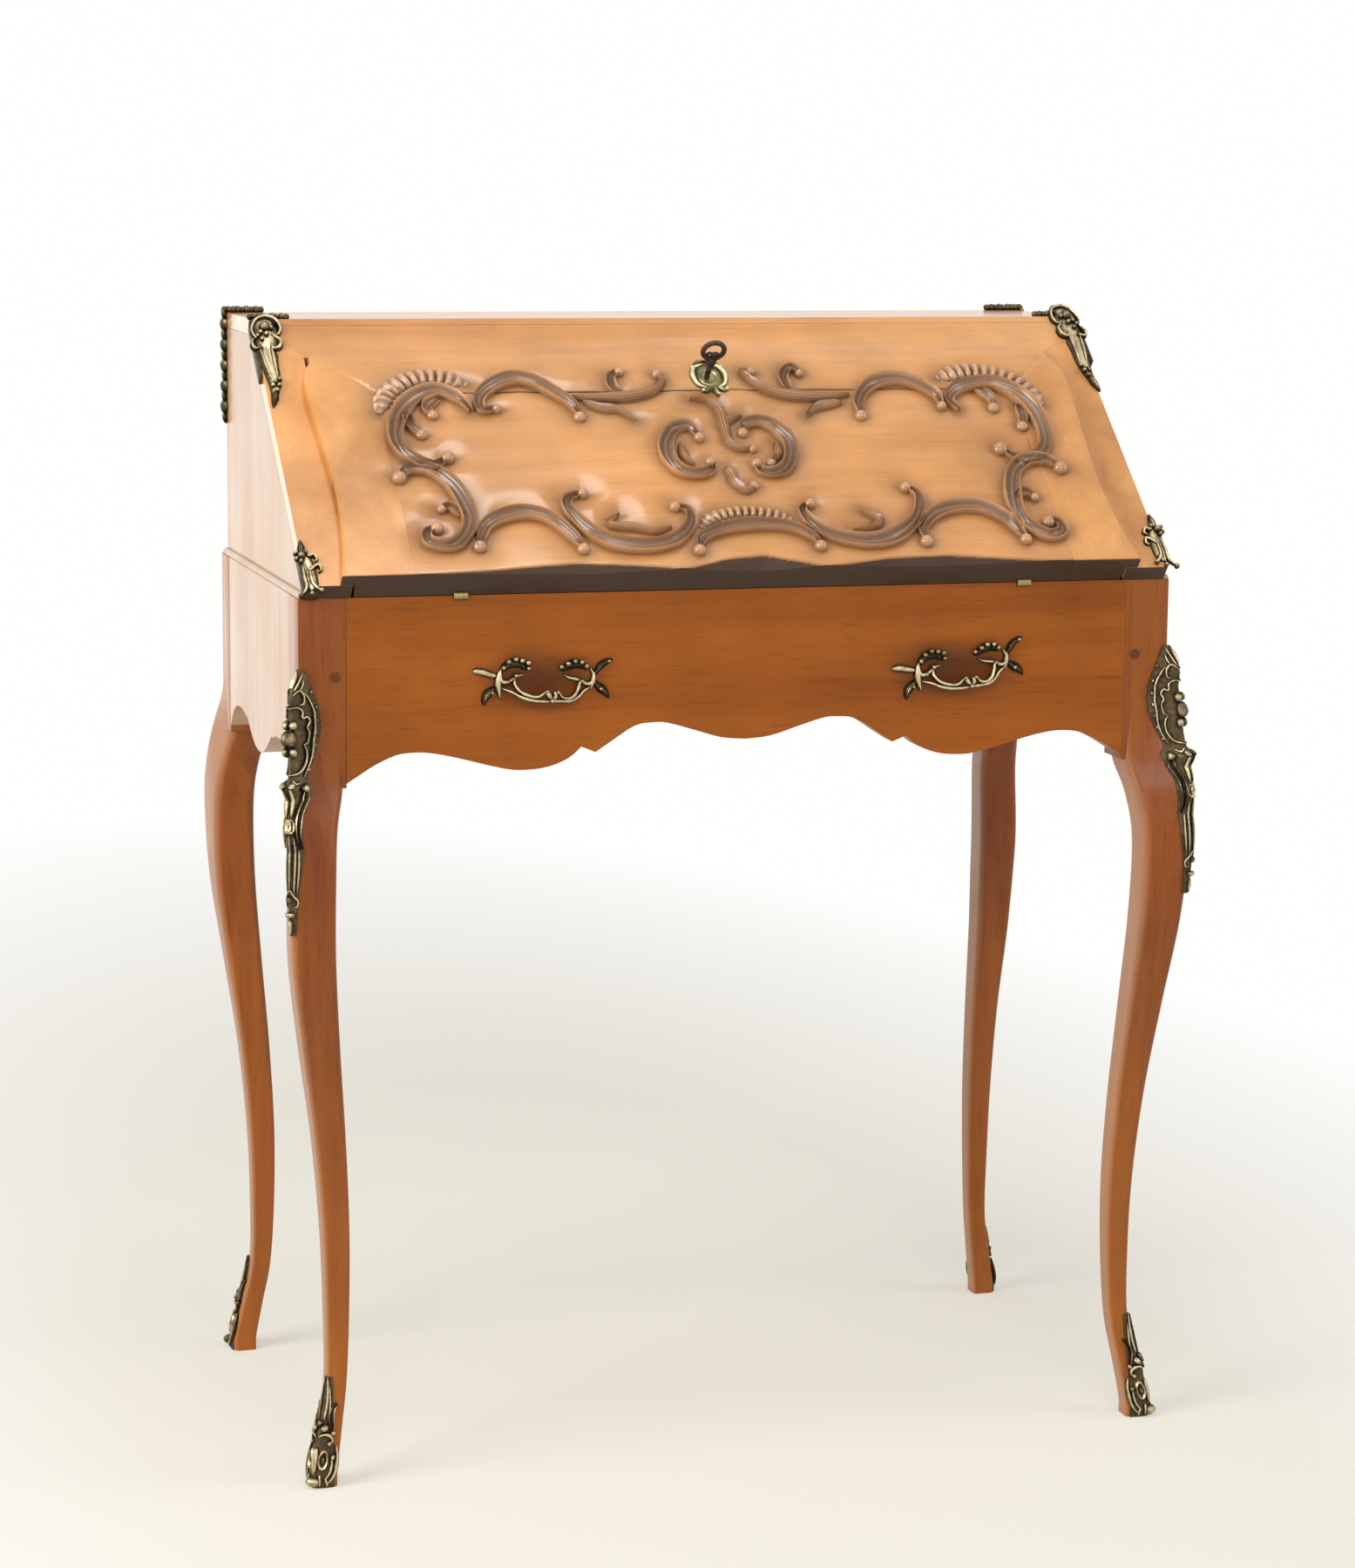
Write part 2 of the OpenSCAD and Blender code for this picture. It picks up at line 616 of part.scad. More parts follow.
// Lid hinges: two outer knuckles and the pin on the case, the middle knuckle on the lid
knuckle = hinge_w/3;
module case_hinges() {
    color("gold") place() for (x = [-hinge_x, hinge_x])
        translate([x, -half_d, writing_h]) {
            for (side = [-1, 1]) translate([side*knuckle, 0, 0]) {
                rotate([0, 90, 0]) cylinder(h = knuckle, r = barrel_r, center = true, $fn = fine);
                box([-knuckle/2, 0, -leaf_t], [knuckle/2, barrel_r + 1, 0]);
            }
            rotate([0, 90, 0]) cylinder(h = hinge_w, r = hinge_pin_r, center = true, $fn = fine);
            box([-hinge_w/2, barrel_r + 0.5, -leaf_t], [hinge_w/2, barrel_r + leaf_len, 0]);
        }
}
module lid_hinges() {
    color("gold") on_slope() for (x = [-hinge_x, hinge_x]) translate([x, 0, 0]) difference() {
        union() {
            rotate([0, 90, 0]) cylinder(h = knuckle - 2*run_gap, r = barrel_r, center = true, $fn = fine);
            box([-knuckle/2 + run_gap, 0, 0], [knuckle/2 - run_gap, barrel_r + 1, leaf_t]);
            box([-hinge_w/2, barrel_r + 0.5, 0], [hinge_w/2, barrel_r + leaf_len, leaf_t]);
        }
        rotate([0, 90, 0]) cylinder(h = hinge_w, r = hinge_pin_r + run_gap, center = true, $fn = fine);
    }
}

// Folding stays: a parallelogram, so the link keeps its direction while the lid turns
stay_x = lid_half - 5;
arm_x = stay_x;
link_x = arm_x - bar_t - 1;
ear_x = link_x - bar_t - 1;
root_angle = 8;
stay_root = [-half_d + stay_link*cos(root_angle), writing_h + stay_link*sin(root_angle)];
arm_angle = slope_angle - asin(stay_lift/stay_arm);
stay_elbow = stay_root + stay_arm*[cos(arm_angle), sin(arm_angle)];
stay_end = stay_elbow - stay_link*[cos(root_angle), sin(root_angle)];
open_play = 0.4;
module rivet(at, x0, x1, r) {
    translate([x0, at[0], at[1]]) rotate([0, 90, 0]) cylinder(h = x1 - x0, r = r, $fn = fine);
}
module bar(a, b, x0) {
    hull_dir = atan2(b[1] - a[1], b[0] - a[0]);
    length = norm(b - a);
    translate([x0, a[0], a[1]]) rotate([hull_dir, 0, 0]) {
        box([0, 0, -bar_w/2 + 1], [bar_t, length, bar_w/2 - 1]);
        for (y = [0, length]) translate([0, y, 0]) rotate([0, 90, 0]) cylinder(h = bar_t, r = bar_w/2, $fn = fine);
    }
}
module stay_posts() {
    color("goldenrod") place() both_sides() {
        box([arm_x + bar_t + seat, stay_root[0] - 12, writing_h], [upper_inner, stay_root[0] + 12, writing_h + 18]);
        rivet(stay_root, arm_x - 1, arm_x + bar_t + 1, rivet_r);
        rivet(stay_root, arm_x - 0.8, arm_x - run_gap, rivet_r + 1.5);
    }
}
module stay_arm_shape() {
    difference() {
        bar(stay_root, stay_elbow, arm_x);
        rivet(stay_root, arm_x - 1, arm_x + bar_t + 1, rivet_r + run_gap);
    }
    rivet(stay_elbow, link_x - 1, arm_x + 1, rivet_r);
    rivet(stay_elbow, link_x - 1, link_x - 0.2, rivet_r + 1.5);
}
module left_stay_arm() { color("goldenrod") place() mirror([1, 0, 0]) stay_arm_shape(); }
module right_stay_arm() { color("goldenrod") place() stay_arm_shape(); }
module stay_link_shape() {
    difference() {
        bar(stay_elbow, stay_end, link_x);
        rivet(stay_elbow, link_x - 1, link_x + bar_t + 1, rivet_r + run_gap);
        rivet(stay_end, link_x - 1, link_x + bar_t + 1, rivet_r + open_play);
    }
}
module left_stay_link() { color("goldenrod") place() mirror([1, 0, 0]) stay_link_shape(); }
module right_stay_link() { color("goldenrod") place() stay_link_shape(); }
stay_end_s = stay_arm*cos(asin(stay_lift/stay_arm));
module stay_brackets() {
    color("goldenrod") on_slope() both_sides() {
        box([ear_x, stay_end_s - 8, -stay_lift - 5], [ear_x + bar_t, stay_end_s + 8, 0]);
        box([ear_x - 14, stay_end_s - 8, -2], [ear_x + bar_t, stay_end_s + 8, 0]);
        translate([0, stay_end_s, -stay_lift]) rotate([0, 90, 0])
            translate([0, 0, ear_x + 1]) cylinder(h = link_x + bar_t - ear_x - 0.5, r = rivet_r, $fn = fine);
    }
}

// Gallery of pigeonholes over a row of small drawers
gallery_half = ear_x - gallery_gap;
gallery_z = writing_h + gallery_t;
shelf_z = gallery_z + drawer_open_h;
pigeon_z = shelf_z + gallery_t;
gallery_top_z = top_under - gallery_air - gallery_t;
pigeon_h = gallery_top_z - pigeon_z;
gallery_back = half_d - back_t - seat;
cheek_in = gallery_half - gallery_t;
bay_w = (cheek_in - middle_half - 2*gallery_t)/2;
bay_starts = [middle_half + gallery_t, middle_half + 2*gallery_t + bay_w];
module gallery_floor() {
    color("peru") place()
        box([-gallery_half, drawer_front_y, writing_h], [gallery_half, gallery_back, gallery_z]);
}
cheek_front = curve([[drawer_front_y, pigeon_z], [drawer_front_y + 6, pigeon_z + 26], [pigeon_front_y - 18, pigeon_z + 52],
    [pigeon_front_y - 4, pigeon_z + 84], [pigeon_front_y, gallery_top_z + gallery_t]], 4);
module gallery_cheeks() {
    color("peru") place() both_sides() along_x(cheek_in, gallery_t)
        polygon(concat([[gallery_back, gallery_z], [drawer_front_y, gallery_z]], cheek_front,
            [[gallery_back, gallery_top_z + gallery_t]]));
}
module gallery_shelves() {
    color("peru") place() {
        box([-cheek_in, drawer_front_y, shelf_z], [cheek_in, gallery_back, pigeon_z]);
        box([-cheek_in, pigeon_front_y, gallery_top_z], [cheek_in, gallery_back, gallery_top_z + gallery_t]);
    }
}
module drawer_dividers() {
    color("peru") place() both_sides() for (x = [middle_half, bay_starts[1] - gallery_t])
        box([x, drawer_front_y, gallery_z], [x + gallery_t, gallery_back, shelf_z]);
}
pigeon_count = 6;
pigeon_pitch = 2*cheek_in/pigeon_count;
divider_t = gallery_t - 1;
divider_front = curve([[pigeon_front_y, pigeon_z], [pigeon_front_y + 10, pigeon_z + 0.2*pigeon_h],
    [pigeon_front_y + 16, pigeon_z + 0.5*pigeon_h], [pigeon_front_y + 10, pigeon_z + 0.8*pigeon_h],
    [pigeon_front_y, gallery_top_z]], 4);
module pigeonhole_dividers() {
    color("peru") place() for (i = [1:pigeon_count - 1])
        along_x(-cheek_in + i*pigeon_pitch - divider_t/2, divider_t)
            polygon(concat([[gallery_back, pigeon_z]], divider_front, [[gallery_back, gallery_top_z]]));
}
drawer_back = gallery_back - 4;
drawer_low = gallery_z + drawer_gap/2;
drawer_high = shelf_z - 2*drawer_gap;
function drawer_x(k) = let (j = k < 3 ? 2 - k : k - 3) (k < 3 ? -bay_starts[j] - bay_w : bay_starts[j]);
module drawer(k) {
    x0 = drawer_x(k) + drawer_gap;
    x1 = drawer_x(k) + bay_w - drawer_gap;
    color("chocolate") place() difference() {
        box([x0, drawer_front_y + drawer_gap, drawer_low], [x1, drawer_back, drawer_high]);
        box([x0 + drawer_wall, drawer_front_y + 2*drawer_wall, drawer_low + drawer_wall],
            [x1 - drawer_wall, drawer_back - drawer_wall, drawer_high + 1]);
    }
}
module drawer_1() drawer(1);
module drawer_2() drawer(2);
module drawer_3() drawer(3);
module drawer_4() drawer(4);
knob_r = 6;
module knob(k) {
    color("gold") place() translate([drawer_x(k) + bay_w/2, drawer_front_y + drawer_gap, (drawer_low + drawer_high)/2])
        rotate([90, 0, 0]) rotate_extrude($fn = fine) polygon([[0, 0], [4.5, 0], [4.5, 1.2], [2, 3],
            [2, 5], [4.6, 7], [knob_r, 9.2], [5, 11.4], [2.6, 12.6], [0, 13]]);
}
module knob_1() knob(1);
module knob_2() knob(2);
module knob_3() knob(3);
module knob_4() knob(4);

// Cast pull: leaf plates, shells and a swag that stands off the apron
swag_chord = 56;
swag_sag = 16;
swag_r = (swag_chord*swag_chord/4 + swag_sag*swag_sag)/(2*swag_sag);
swag_bar = 2.6;
swag_half_angle = asin(swag_chord/2/swag_r);
shell_r = 12.5;
shell_at = [25, 8.5];
module leaf_plate() {
    polygon(curve([[22, 4], [36, 12], [46, 8], [56, 14], [62, 12], [58, 5], [48, 1], [52, -6], [57, -17],
        [49, -15], [42, -4], [36, -10], [30, -6], [22, 0]], 3));
    translate(shell_at) circle(r = shell_r, $fn = fine);
}
module pull(x, tilt) {
    color("darkgoldenrod") place() translate([x, -half_d, writing_h - pull_drop]) rotate([90, -tilt, 0]) {
        for (side = [0, 1]) mirror([side, 0, 0]) {
            linear_extrude(pull_plate_t) leaf_plate();
            translate([shell_at[0], shell_at[1], pull_plate_t - 0.4]) rotate([0, 0, 20])
                rotate_extrude(angle = 200, $fn = fine) translate([shell_r - 3.2, 0]) intersection() {
                    circle(r = 3, $fn = 24);
                    translate([-4, 0]) square(8);
                }
            translate([swag_chord/2, 0, 0]) cylinder(h = swag_reach + swag_bar + 1.3, r = 4.2, $fn = fine);
        }
        translate([0, swag_r*cos(swag_half_angle), swag_reach])
            rotate([0, 0, -90 - swag_half_angle]) rotate_extrude(angle = 2*swag_half_angle, $fn = 96)
                translate([swag_r, 0]) circle(r = swag_bar, $fn = 24);
        translate([-4, -swag_sag, swag_reach]) rotate([0, 90, 0]) cylinder(h = 8, r = 4.2, $fn = fine);
    }
}
module left_pull() pull(-pull_x, left_tilt);
module right_pull() pull(pull_x, right_tilt);

// Bronze corner mounts: a leaf's outline as shares of its width and length
top_leaf = [[-0.9, 0.03], [-1, -0.04], [-0.92, -0.17], [-0.62, -0.34], [-0.46, -0.52], [-0.56, -0.68],
    [-0.46, -0.84], [-0.11, -1]];
low_leaf = [[0, 1], [-0.36, 0.84], [-0.57, 0.71], [-1, 0.61], [-0.93, 0.5], [-0.5, 0.43], [-0.86, 0.32],
    [-0.64, 0.19], [-0.43, 0.08], [-0.86, -0.05]];
top_s = (desk_h - on_plane(0, frame_t)[1])/slope_rise;
module top_front_mount() {
    on_slope() translate([upper_half, top_s, frame_t]) {
        linear_extrude(mount_t) polygon(concat([for (p = curve(top_leaf, 3)) [p[0]*shell_w, p[1]*leaf_len_top]],
            [[mount_t, -0.82*leaf_len_top], [mount_t, 0.03*leaf_len_top]]));
        box([0, -0.6*leaf_len_top, -4*mount_t], [mount_t, 0, 0.1]);
    }
    place() translate([upper_half, plane_y(desk_h, frame_t), desk_h])
        box([-arm_len, 1, 0], [mount_t, 9, arm_h]);
}
module top_back_mount() {
    place() translate([upper_half, half_d, desk_h]) {
        box([-arm_len, -8, 0], [mount_t, mount_t, arm_h]);
        box([0, -4*mount_t, -back_leaf_len], [mount_t, mount_t, 1]);
        box([-3*mount_t, 0, -back_leaf_len], [mount_t, mount_t, 1]);
    }
}
module top_corner_mounts() {
    color("darkgoldenrod") both_sides() {
        top_front_mount();
        top_back_mount();
    }
}
module slant_corner_mounts() {
    color("darkgoldenrod") both_sides() on_slope() translate([upper_half, 0, frame_t]) {
        linear_extrude(mount_t) polygon(concat([[2*mount_t, -0.05*low_mount_len], [2*mount_t, 0.6*low_mount_len]],
            [for (p = curve(low_leaf, 3)) [p[0]*low_mount_w, p[1]*low_mount_len]]));
        box([0, 0, -3*mount_t], [2*mount_t, 0.6*low_mount_len, 0.1]);
        box([-0.8*low_mount_w, -mount_t, -4*mount_t], [2*mount_t, 0, 0.1]);
    }
}
// Bronze over a leg's outer corner, row by row: share of the height, reach along each face,
// in post widths, and stand-off at the sides and at the corner, in thicknesses of the bronze
// Knee mount: a shield over a waist with bosses and a long leaf, as shares of the knee's height
knee_rows = [[1.0718, 0.111, 0.59, 1.05], [1.0595, 0.173, 0.68, 3.75], [1.0473, 0.247, 0.68, 6.04],
    [1.0351, 0.333, 0.68, 7.09], [1.0183, 0.42, 0.68, 6.87], [1, 0.454, 0.68, 7.71],
    [0.9832, 0.432, 0.68, 8.34], [0.9618, 0.346, 0.68, 7.09], [0.9389, 0.259, 0.68, 5.42],
    [0.9252, 0.42, 0.68, 7.91], [0.9115, 0.37, 0.68, 3.75], [0.8931, 0.259, 0.68, 3.12],
    [0.8702, 0.247, 0.68, 2.5], [0.8473, 0.309, 0.59, 1.18], [0.809, 0.23, 0.59, 1.18],
    [0.7863, 0.173, 0.59, 1.01], [0.7557, 0.136, 0.59, 0.93], [0.7389, 0.111, 0.51, 0.68]];
leg_side = [for (c = leg_curve) [c[0], c[2]]];
leg_front = [for (c = leg_curve) [c[0], c[4]]];
leg_wide = [for (c = leg_curve) [c[0], c[2] - c[1]]];
leg_deep = [for (c = leg_curve) [c[0], c[4] - c[3]]];
leg_fall = [for (c = leg_curve) [c[0], c[5]]];
bronze_steps = 6;
bronze_air = 0.5;
// How far a leg's face lies inside its corner's plane, at a distance back from the corner
function face_in(t, across, along, drop, arc) = lookup(t, [
    [arc/2*along, across - (1 - arc*(1 - cos(30)))*(across - arc/2*drop)], [arc*along, arc*drop], [along, drop]]);
function bronze_ring(z, r, tuck) =
    let (f = min(z/knee_z, 1), on_post = f > 0.99, k = post_w,
         x1 = half_w + bronze_air + (on_post ? 0 : k*lookup(f, leg_side)) - tuck*lookup(f, tuck_wave),
         y1 = half_d + bronze_air + (on_post ? 0 : k*lookup(f, leg_front)),
         wide = k*lookup(f, leg_wide), deep = k*lookup(f, leg_deep), reach = k*r[1],
         fall = on_post ? 0 : k*lookup(f, leg_fall), arc = on_post ? 0 : corner_round/2,
         near_x = on_post ? 0.3*reach : arc/2*wide, near_y = on_post ? 0.3*reach : arc/2*deep,
         next_x = on_post ? 0.6*reach : min(arc*wide, (reach + near_x)/2),
         next_y = on_post ? 0.6*reach : min(arc*deep, (reach + near_y)/2),
         p = [x1 - reach, y1 + bronze_t*r[2] - reach*fall/wide],
         c = [x1 + bronze_t*r[3], y1 + bronze_t*r[3]],
         q = [x1 + bronze_t*r[2] - 0.6*reach*fall/deep, y1 - reach],
         face_y = [for (t = [reach, next_x, near_x]) [x1 - t, y1 - face_in(t, deep, wide, fall, arc)]],
         face_x = [for (t = [near_y, next_y, reach]) [x1 - face_in(t, wide, deep, 0.6*fall, arc), y1 - t]],
         flat = concat(
            [for (i = [0:bronze_steps])
                let (t = i/bronze_steps, a = pow(1 - t, 2), b = 4*t*(1 - t), d = t*t)
                (a*q + b*c + d*p)/(a + b + d)],
            face_y, [on_post ? [x1, y1] : (face_y[2] + face_x[0])/2], face_x))
    [for (v = flat) [v[0], v[1], z]];
module knee_mounts() {
    color("darkgoldenrod") for (sx = [-1, 1]) place() at_corner(sx, -1)
        loft([for (i = [len(knee_rows) - 1:-1:0]) bronze_ring(knee_rows[i][0]*knee_z, knee_rows[i], 0)]);
}
// Shoe, as shares of its own height
shoe_rows = [[0, 0.43, 0.76, 1.69], [0.15, 0.42, 0.76, 1.69], [0.33, 0.37, 0.68, 1.69],
    [0.5, 0.27, 0.68, 1.52], [0.67, 0.2, 0.59, 1.35], [0.83, 0.16, 0.59, 1.18], [1, 0.11, 0.51, 0.68]];
module sabots() {
    color("darkgoldenrod") for (sx = [-1, 1], sy = [-1, 1]) place() at_corner(sx, sy)
        loft([for (r = shoe_rows) bronze_ring(r[0]*shoe_h, r, leg_tuck(sx, sy))]);
}

// Carved relief: half-round ridges that swell in the middle, taper and end in a ball
// Each scroll is a list of places, sideways from the lock as a share of the lid's half width and up
// the slope as a share of its length
scrolls = [
    [[-0.646, 0.713], [-0.667, 0.757], [-0.705, 0.805], [-0.751, 0.812], [-0.822, 0.768],
        [-0.874, 0.695], [-0.898, 0.607], [-0.889, 0.533], [-0.854, 0.489], [-0.798, 0.463],
        [-0.749, 0.504]],
    [[-0.728, 0.787], [-0.775, 0.735], [-0.763, 0.699]],
    [[-0.868, 0.419], [-0.836, 0.456], [-0.787, 0.449], [-0.746, 0.393], [-0.722, 0.309],
        [-0.716, 0.224], [-0.746, 0.151], [-0.784, 0.118], [-0.830, 0.136], [-0.830, 0.180],
        [-0.804, 0.195]],
    [[-0.731, 0.250], [-0.757, 0.287], [-0.781, 0.279]],
    [[-0.708, 0.114], [-0.681, 0.199], [-0.626, 0.243], [-0.567, 0.254], [-0.515, 0.228],
        [-0.474, 0.165], [-0.447, 0.096]],
    [[-0.412, 0.335], [-0.456, 0.312], [-0.456, 0.250], [-0.418, 0.165], [-0.357, 0.110],
        [-0.272, 0.099], [-0.202, 0.129], [-0.155, 0.195], [-0.152, 0.254], [-0.184, 0.268]],
    [[-0.576, 0.721], [-0.614, 0.717], [-0.617, 0.765], [-0.585, 0.816], [-0.520, 0.857],
        [-0.465, 0.842], [-0.415, 0.790], [-0.377, 0.735], [-0.365, 0.680]],
    [[-0.371, 0.772], [-0.307, 0.768], [-0.234, 0.768], [-0.164, 0.790], [-0.123, 0.838],
        [-0.129, 0.875]],
    [[-0.067, 0.577], [-0.085, 0.643], [-0.137, 0.629], [-0.178, 0.555], [-0.181, 0.471],
        [-0.149, 0.412], [-0.096, 0.401], [-0.053, 0.434], [-0.056, 0.463]],
    [[0.664, 0.695], [0.646, 0.746], [0.687, 0.801], [0.769, 0.820], [0.827, 0.783], [0.865, 0.706],
        [0.877, 0.610], [0.868, 0.533], [0.833, 0.478], [0.781, 0.463], [0.740, 0.511]],
    [[0.740, 0.794], [0.763, 0.735], [0.766, 0.706]],
    [[0.886, 0.419], [0.851, 0.456], [0.798, 0.456], [0.754, 0.408], [0.728, 0.320], [0.719, 0.217],
        [0.737, 0.154], [0.787, 0.110], [0.827, 0.136], [0.819, 0.173], [0.795, 0.173]],
    [[0.734, 0.294], [0.763, 0.309], [0.784, 0.287]],
    [[0.719, 0.099], [0.699, 0.162], [0.673, 0.206], [0.620, 0.246], [0.553, 0.246], [0.494, 0.217],
        [0.453, 0.162], [0.450, 0.099]],
    [[0.442, 0.338], [0.465, 0.309], [0.465, 0.261], [0.436, 0.188], [0.368, 0.121], [0.292, 0.099],
        [0.208, 0.129], [0.161, 0.184], [0.146, 0.246], [0.173, 0.272]],
    [[0.620, 0.713], [0.611, 0.768], [0.567, 0.820], [0.509, 0.842], [0.442, 0.816], [0.398, 0.750],
        [0.389, 0.673]],
    [[0.374, 0.772], [0.278, 0.761], [0.184, 0.779], [0.132, 0.827], [0.102, 0.886], [0.126, 0.882]],
    [[0.053, 0.596], [0.067, 0.643], [0.105, 0.662], [0.149, 0.632], [0.178, 0.566], [0.175, 0.493],
        [0.146, 0.419], [0.105, 0.393], [0.067, 0.412], [0.061, 0.456]],
    [[-0.053, 0.750], [-0.015, 0.746], [0.009, 0.699], [0.009, 0.625], [0.009, 0.559], [0.032, 0.526],
        [0.064, 0.526]],
    [[-0.152, 0.081], [-0.135, 0.132], [-0.091, 0.162], [-0.026, 0.180], [0.038, 0.184], [0.102, 0.169],
        [0.149, 0.132], [0.167, 0.088]],
    [[-0.012, 0.441], [-0.009, 0.390], [0.015, 0.338], [0.038, 0.360]]];
scroll_steps = 2;
function section(at, side, w, h) = [for (q = [[w, 0], [0.75*w, 0.7*h], [0, h], [-0.75*w, 0.7*h], [-w, 0]])
    [at[0] + side[0]*q[0], at[1] + side[1]*q[0], q[1]]];
function scroll_rings(p) =
    let (c = curve([for (v = p) [v[0]*lid_half, v[1]*lid_len]], scroll_steps), n = len(c) - 1,
         e = (c[n] - c[n - 1])/norm(c[n] - c[n - 1]), e_side = [-e[1], e[0]])
    concat(
        [for (i = [0:n - 1])
            let (a = c[max(i - 1, 0)], b = c[min(i + 1, n)], d = (b - a)/norm(b - a),
                 swell = 0.35 + 0.65*sin(165*i/n))
            section(c[i], [-d[1], d[0]], scroll_w*swell, scroll_h*swell)],
        [for (o = [-0.5, 0, 0.5, 0.85])
            section(c[n] + o*ball_r*e, e_side, ball_r*sqrt(1 - o*o), scroll_h*(1.2 - 0.5*abs(o)))]);
module lid_carving() {
    color("tan") on_slope() translate([lock_x, 0, lid_t]) for (p = scrolls) loft(scroll_rings(p));
}

front_left_leg();
front_right_leg();
back_left_leg();
back_right_leg();
front_apron();
left_side_panel();
right_side_panel();
back_board();
case_bottom();
writing_boards();
writing_rail();
well_walls();
well_cover();
left_case_side();
right_case_side();
back_panel();
top_board();
left_slant_stile();
right_slant_stile();
slant_rail();
side_mouldings();
draw_pegs();
case_hinges();
stay_posts();
strike_plate();
gallery_floor();
gallery_cheeks();
gallery_shelves();
drawer_dividers();
pigeonhole_dividers();
drawer_1();
drawer_2();
drawer_3();
drawer_4();
knob_1();
knob_2();
knob_3();
knob_4();
left_pull();
right_pull();
top_corner_mounts();
slant_corner_mounts();
knee_mounts();
sabots();
lid_panel();
lid_left_stile();
lid_right_stile();
lid_rail();
lid_carving();
writing_leather();
escutcheon();
lock_case();
lock_bolt();
key();
lid_hinges();
stay_brackets();
left_stay_arm();
right_stay_arm();
left_stay_link();
right_stay_link();
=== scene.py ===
"""A slant-front desk on cabriole legs.

Sizes are in millimetres on the classes below, and the meshes are made in metres in the frame's axes:
+Z up, +X to the right and the front towards -Y.
"""

import logging
import math
import random
from collections.abc import Callable, Iterable, Sequence
from dataclasses import dataclass, field, replace
from enum import Enum
from typing import ClassVar

import bmesh
import bpy
from mathutils import Euler, Matrix, Vector, kdtree

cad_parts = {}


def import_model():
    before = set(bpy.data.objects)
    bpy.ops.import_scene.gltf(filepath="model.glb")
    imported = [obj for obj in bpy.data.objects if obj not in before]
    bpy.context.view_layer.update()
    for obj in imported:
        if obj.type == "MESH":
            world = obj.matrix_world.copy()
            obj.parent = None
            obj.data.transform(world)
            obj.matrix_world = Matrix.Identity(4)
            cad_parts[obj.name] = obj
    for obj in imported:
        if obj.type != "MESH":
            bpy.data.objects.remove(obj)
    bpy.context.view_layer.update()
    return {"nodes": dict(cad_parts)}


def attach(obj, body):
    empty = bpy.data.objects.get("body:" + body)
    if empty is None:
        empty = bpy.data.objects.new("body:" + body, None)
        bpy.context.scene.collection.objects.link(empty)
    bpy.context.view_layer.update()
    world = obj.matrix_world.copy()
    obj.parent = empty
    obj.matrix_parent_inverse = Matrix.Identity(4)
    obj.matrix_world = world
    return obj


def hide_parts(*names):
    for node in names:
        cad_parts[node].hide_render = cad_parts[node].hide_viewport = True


log = logging.getLogger("desk")

MM = 0.001
# Points nearer than this are one, in millimetres and, on the source's pieces, in metres
ONE_POINT = 1e-4
ONE_POINT_M = 1e-5
# Segments of an eased edge
EASING = 2
Point = Sequence[float]
Ring = list[Vector]
Colour = tuple[int, int, int]
Socket = bpy.types.NodeSocket
Nodes = dict[str, bpy.types.Object]


def linear(colour: Colour) -> tuple[float, float, float, float]:
    """Linear RGBA of an sRGB colour written as 0 to 255.

    Args:
        colour: Red, green and blue.

    Returns:
        The four linear values.
    """
    values = []
    for part in colour:
        c = part / 255
        values.append(c / 12.92 if c <= 0.04045 else ((c + 0.055) / 1.055) ** 2.4)
    return (values[0], values[1], values[2], 1.0)


def bend(a: float, b: float, c: float, d: float, t: float) -> float:
    """Value between b and c of the smooth curve through four numbers."""
    square, cube = 2 * a - 5 * b + 4 * c - d, 3 * b - a - 3 * c + d
    return 0.5 * (2 * b + (c - a) * t + square * t * t + cube * t**3)


def curve(points: Sequence[Point], steps: int) -> list[tuple[float, ...]]:
    """Smooth curve through points.

    Args:
        points: The points, each with the same number of values.
        steps: Steps from one point to the next.

    Returns:
        The points of the curve, the given ones among them.
    """
    last = len(points) - 1
    out: list[tuple[float, ...]] = []
    for i in range(last):
        four = (points[max(i - 1, 0)], points[i], points[i + 1], points[min(i + 2, last)])
        for k in range(steps):
            out.append(tuple(bend(*parts, k / steps) for parts in zip(*four)))
    out.append(tuple(points[last]))
    return out


def even(points: Sequence[Point], spacing: float) -> list[tuple[float, ...]]:
    """The same line through points at an even spacing.

    Args:
        points: The points.
        spacing: Distance between its new points.

    Returns:
        The new points.
    """
    fine = curve(points, 16)
    lengths = [0.0]
    for a, b in zip(fine, fine[1:]):
        lengths.append(lengths[-1] + math.dist(a[:2], b[:2]))
    count = max(3, round(lengths[-1] / spacing))
    out, j = [], 0
    for i in range(count + 1):
        goal = lengths[-1] * i / count
        while j < len(lengths) - 2 and lengths[j + 1] < goal:
            j += 1
        span = lengths[j + 1] - lengths[j]
        t = 0 if span == 0 else min(1, (goal - lengths[j]) / span)
        out.append(tuple(a + (b - a) * t for a, b in zip(fine[j], fine[j + 1])))
    return out


def between(table: Sequence[tuple[float, float]], t: float) -> float:
    """Value at t on straight lines through (place, value) pairs.

    Args:
        table: The pairs, in order.
        t: The place.

    Returns:
        The value.
    """
    if t <= table[0][0]:
        return table[0][1]
    for (a, u), (b, v) in zip(table, table[1:]):
        if t <= b:
            return u + (v - u) * (t - a) / (b - a)
    return table[-1][1]


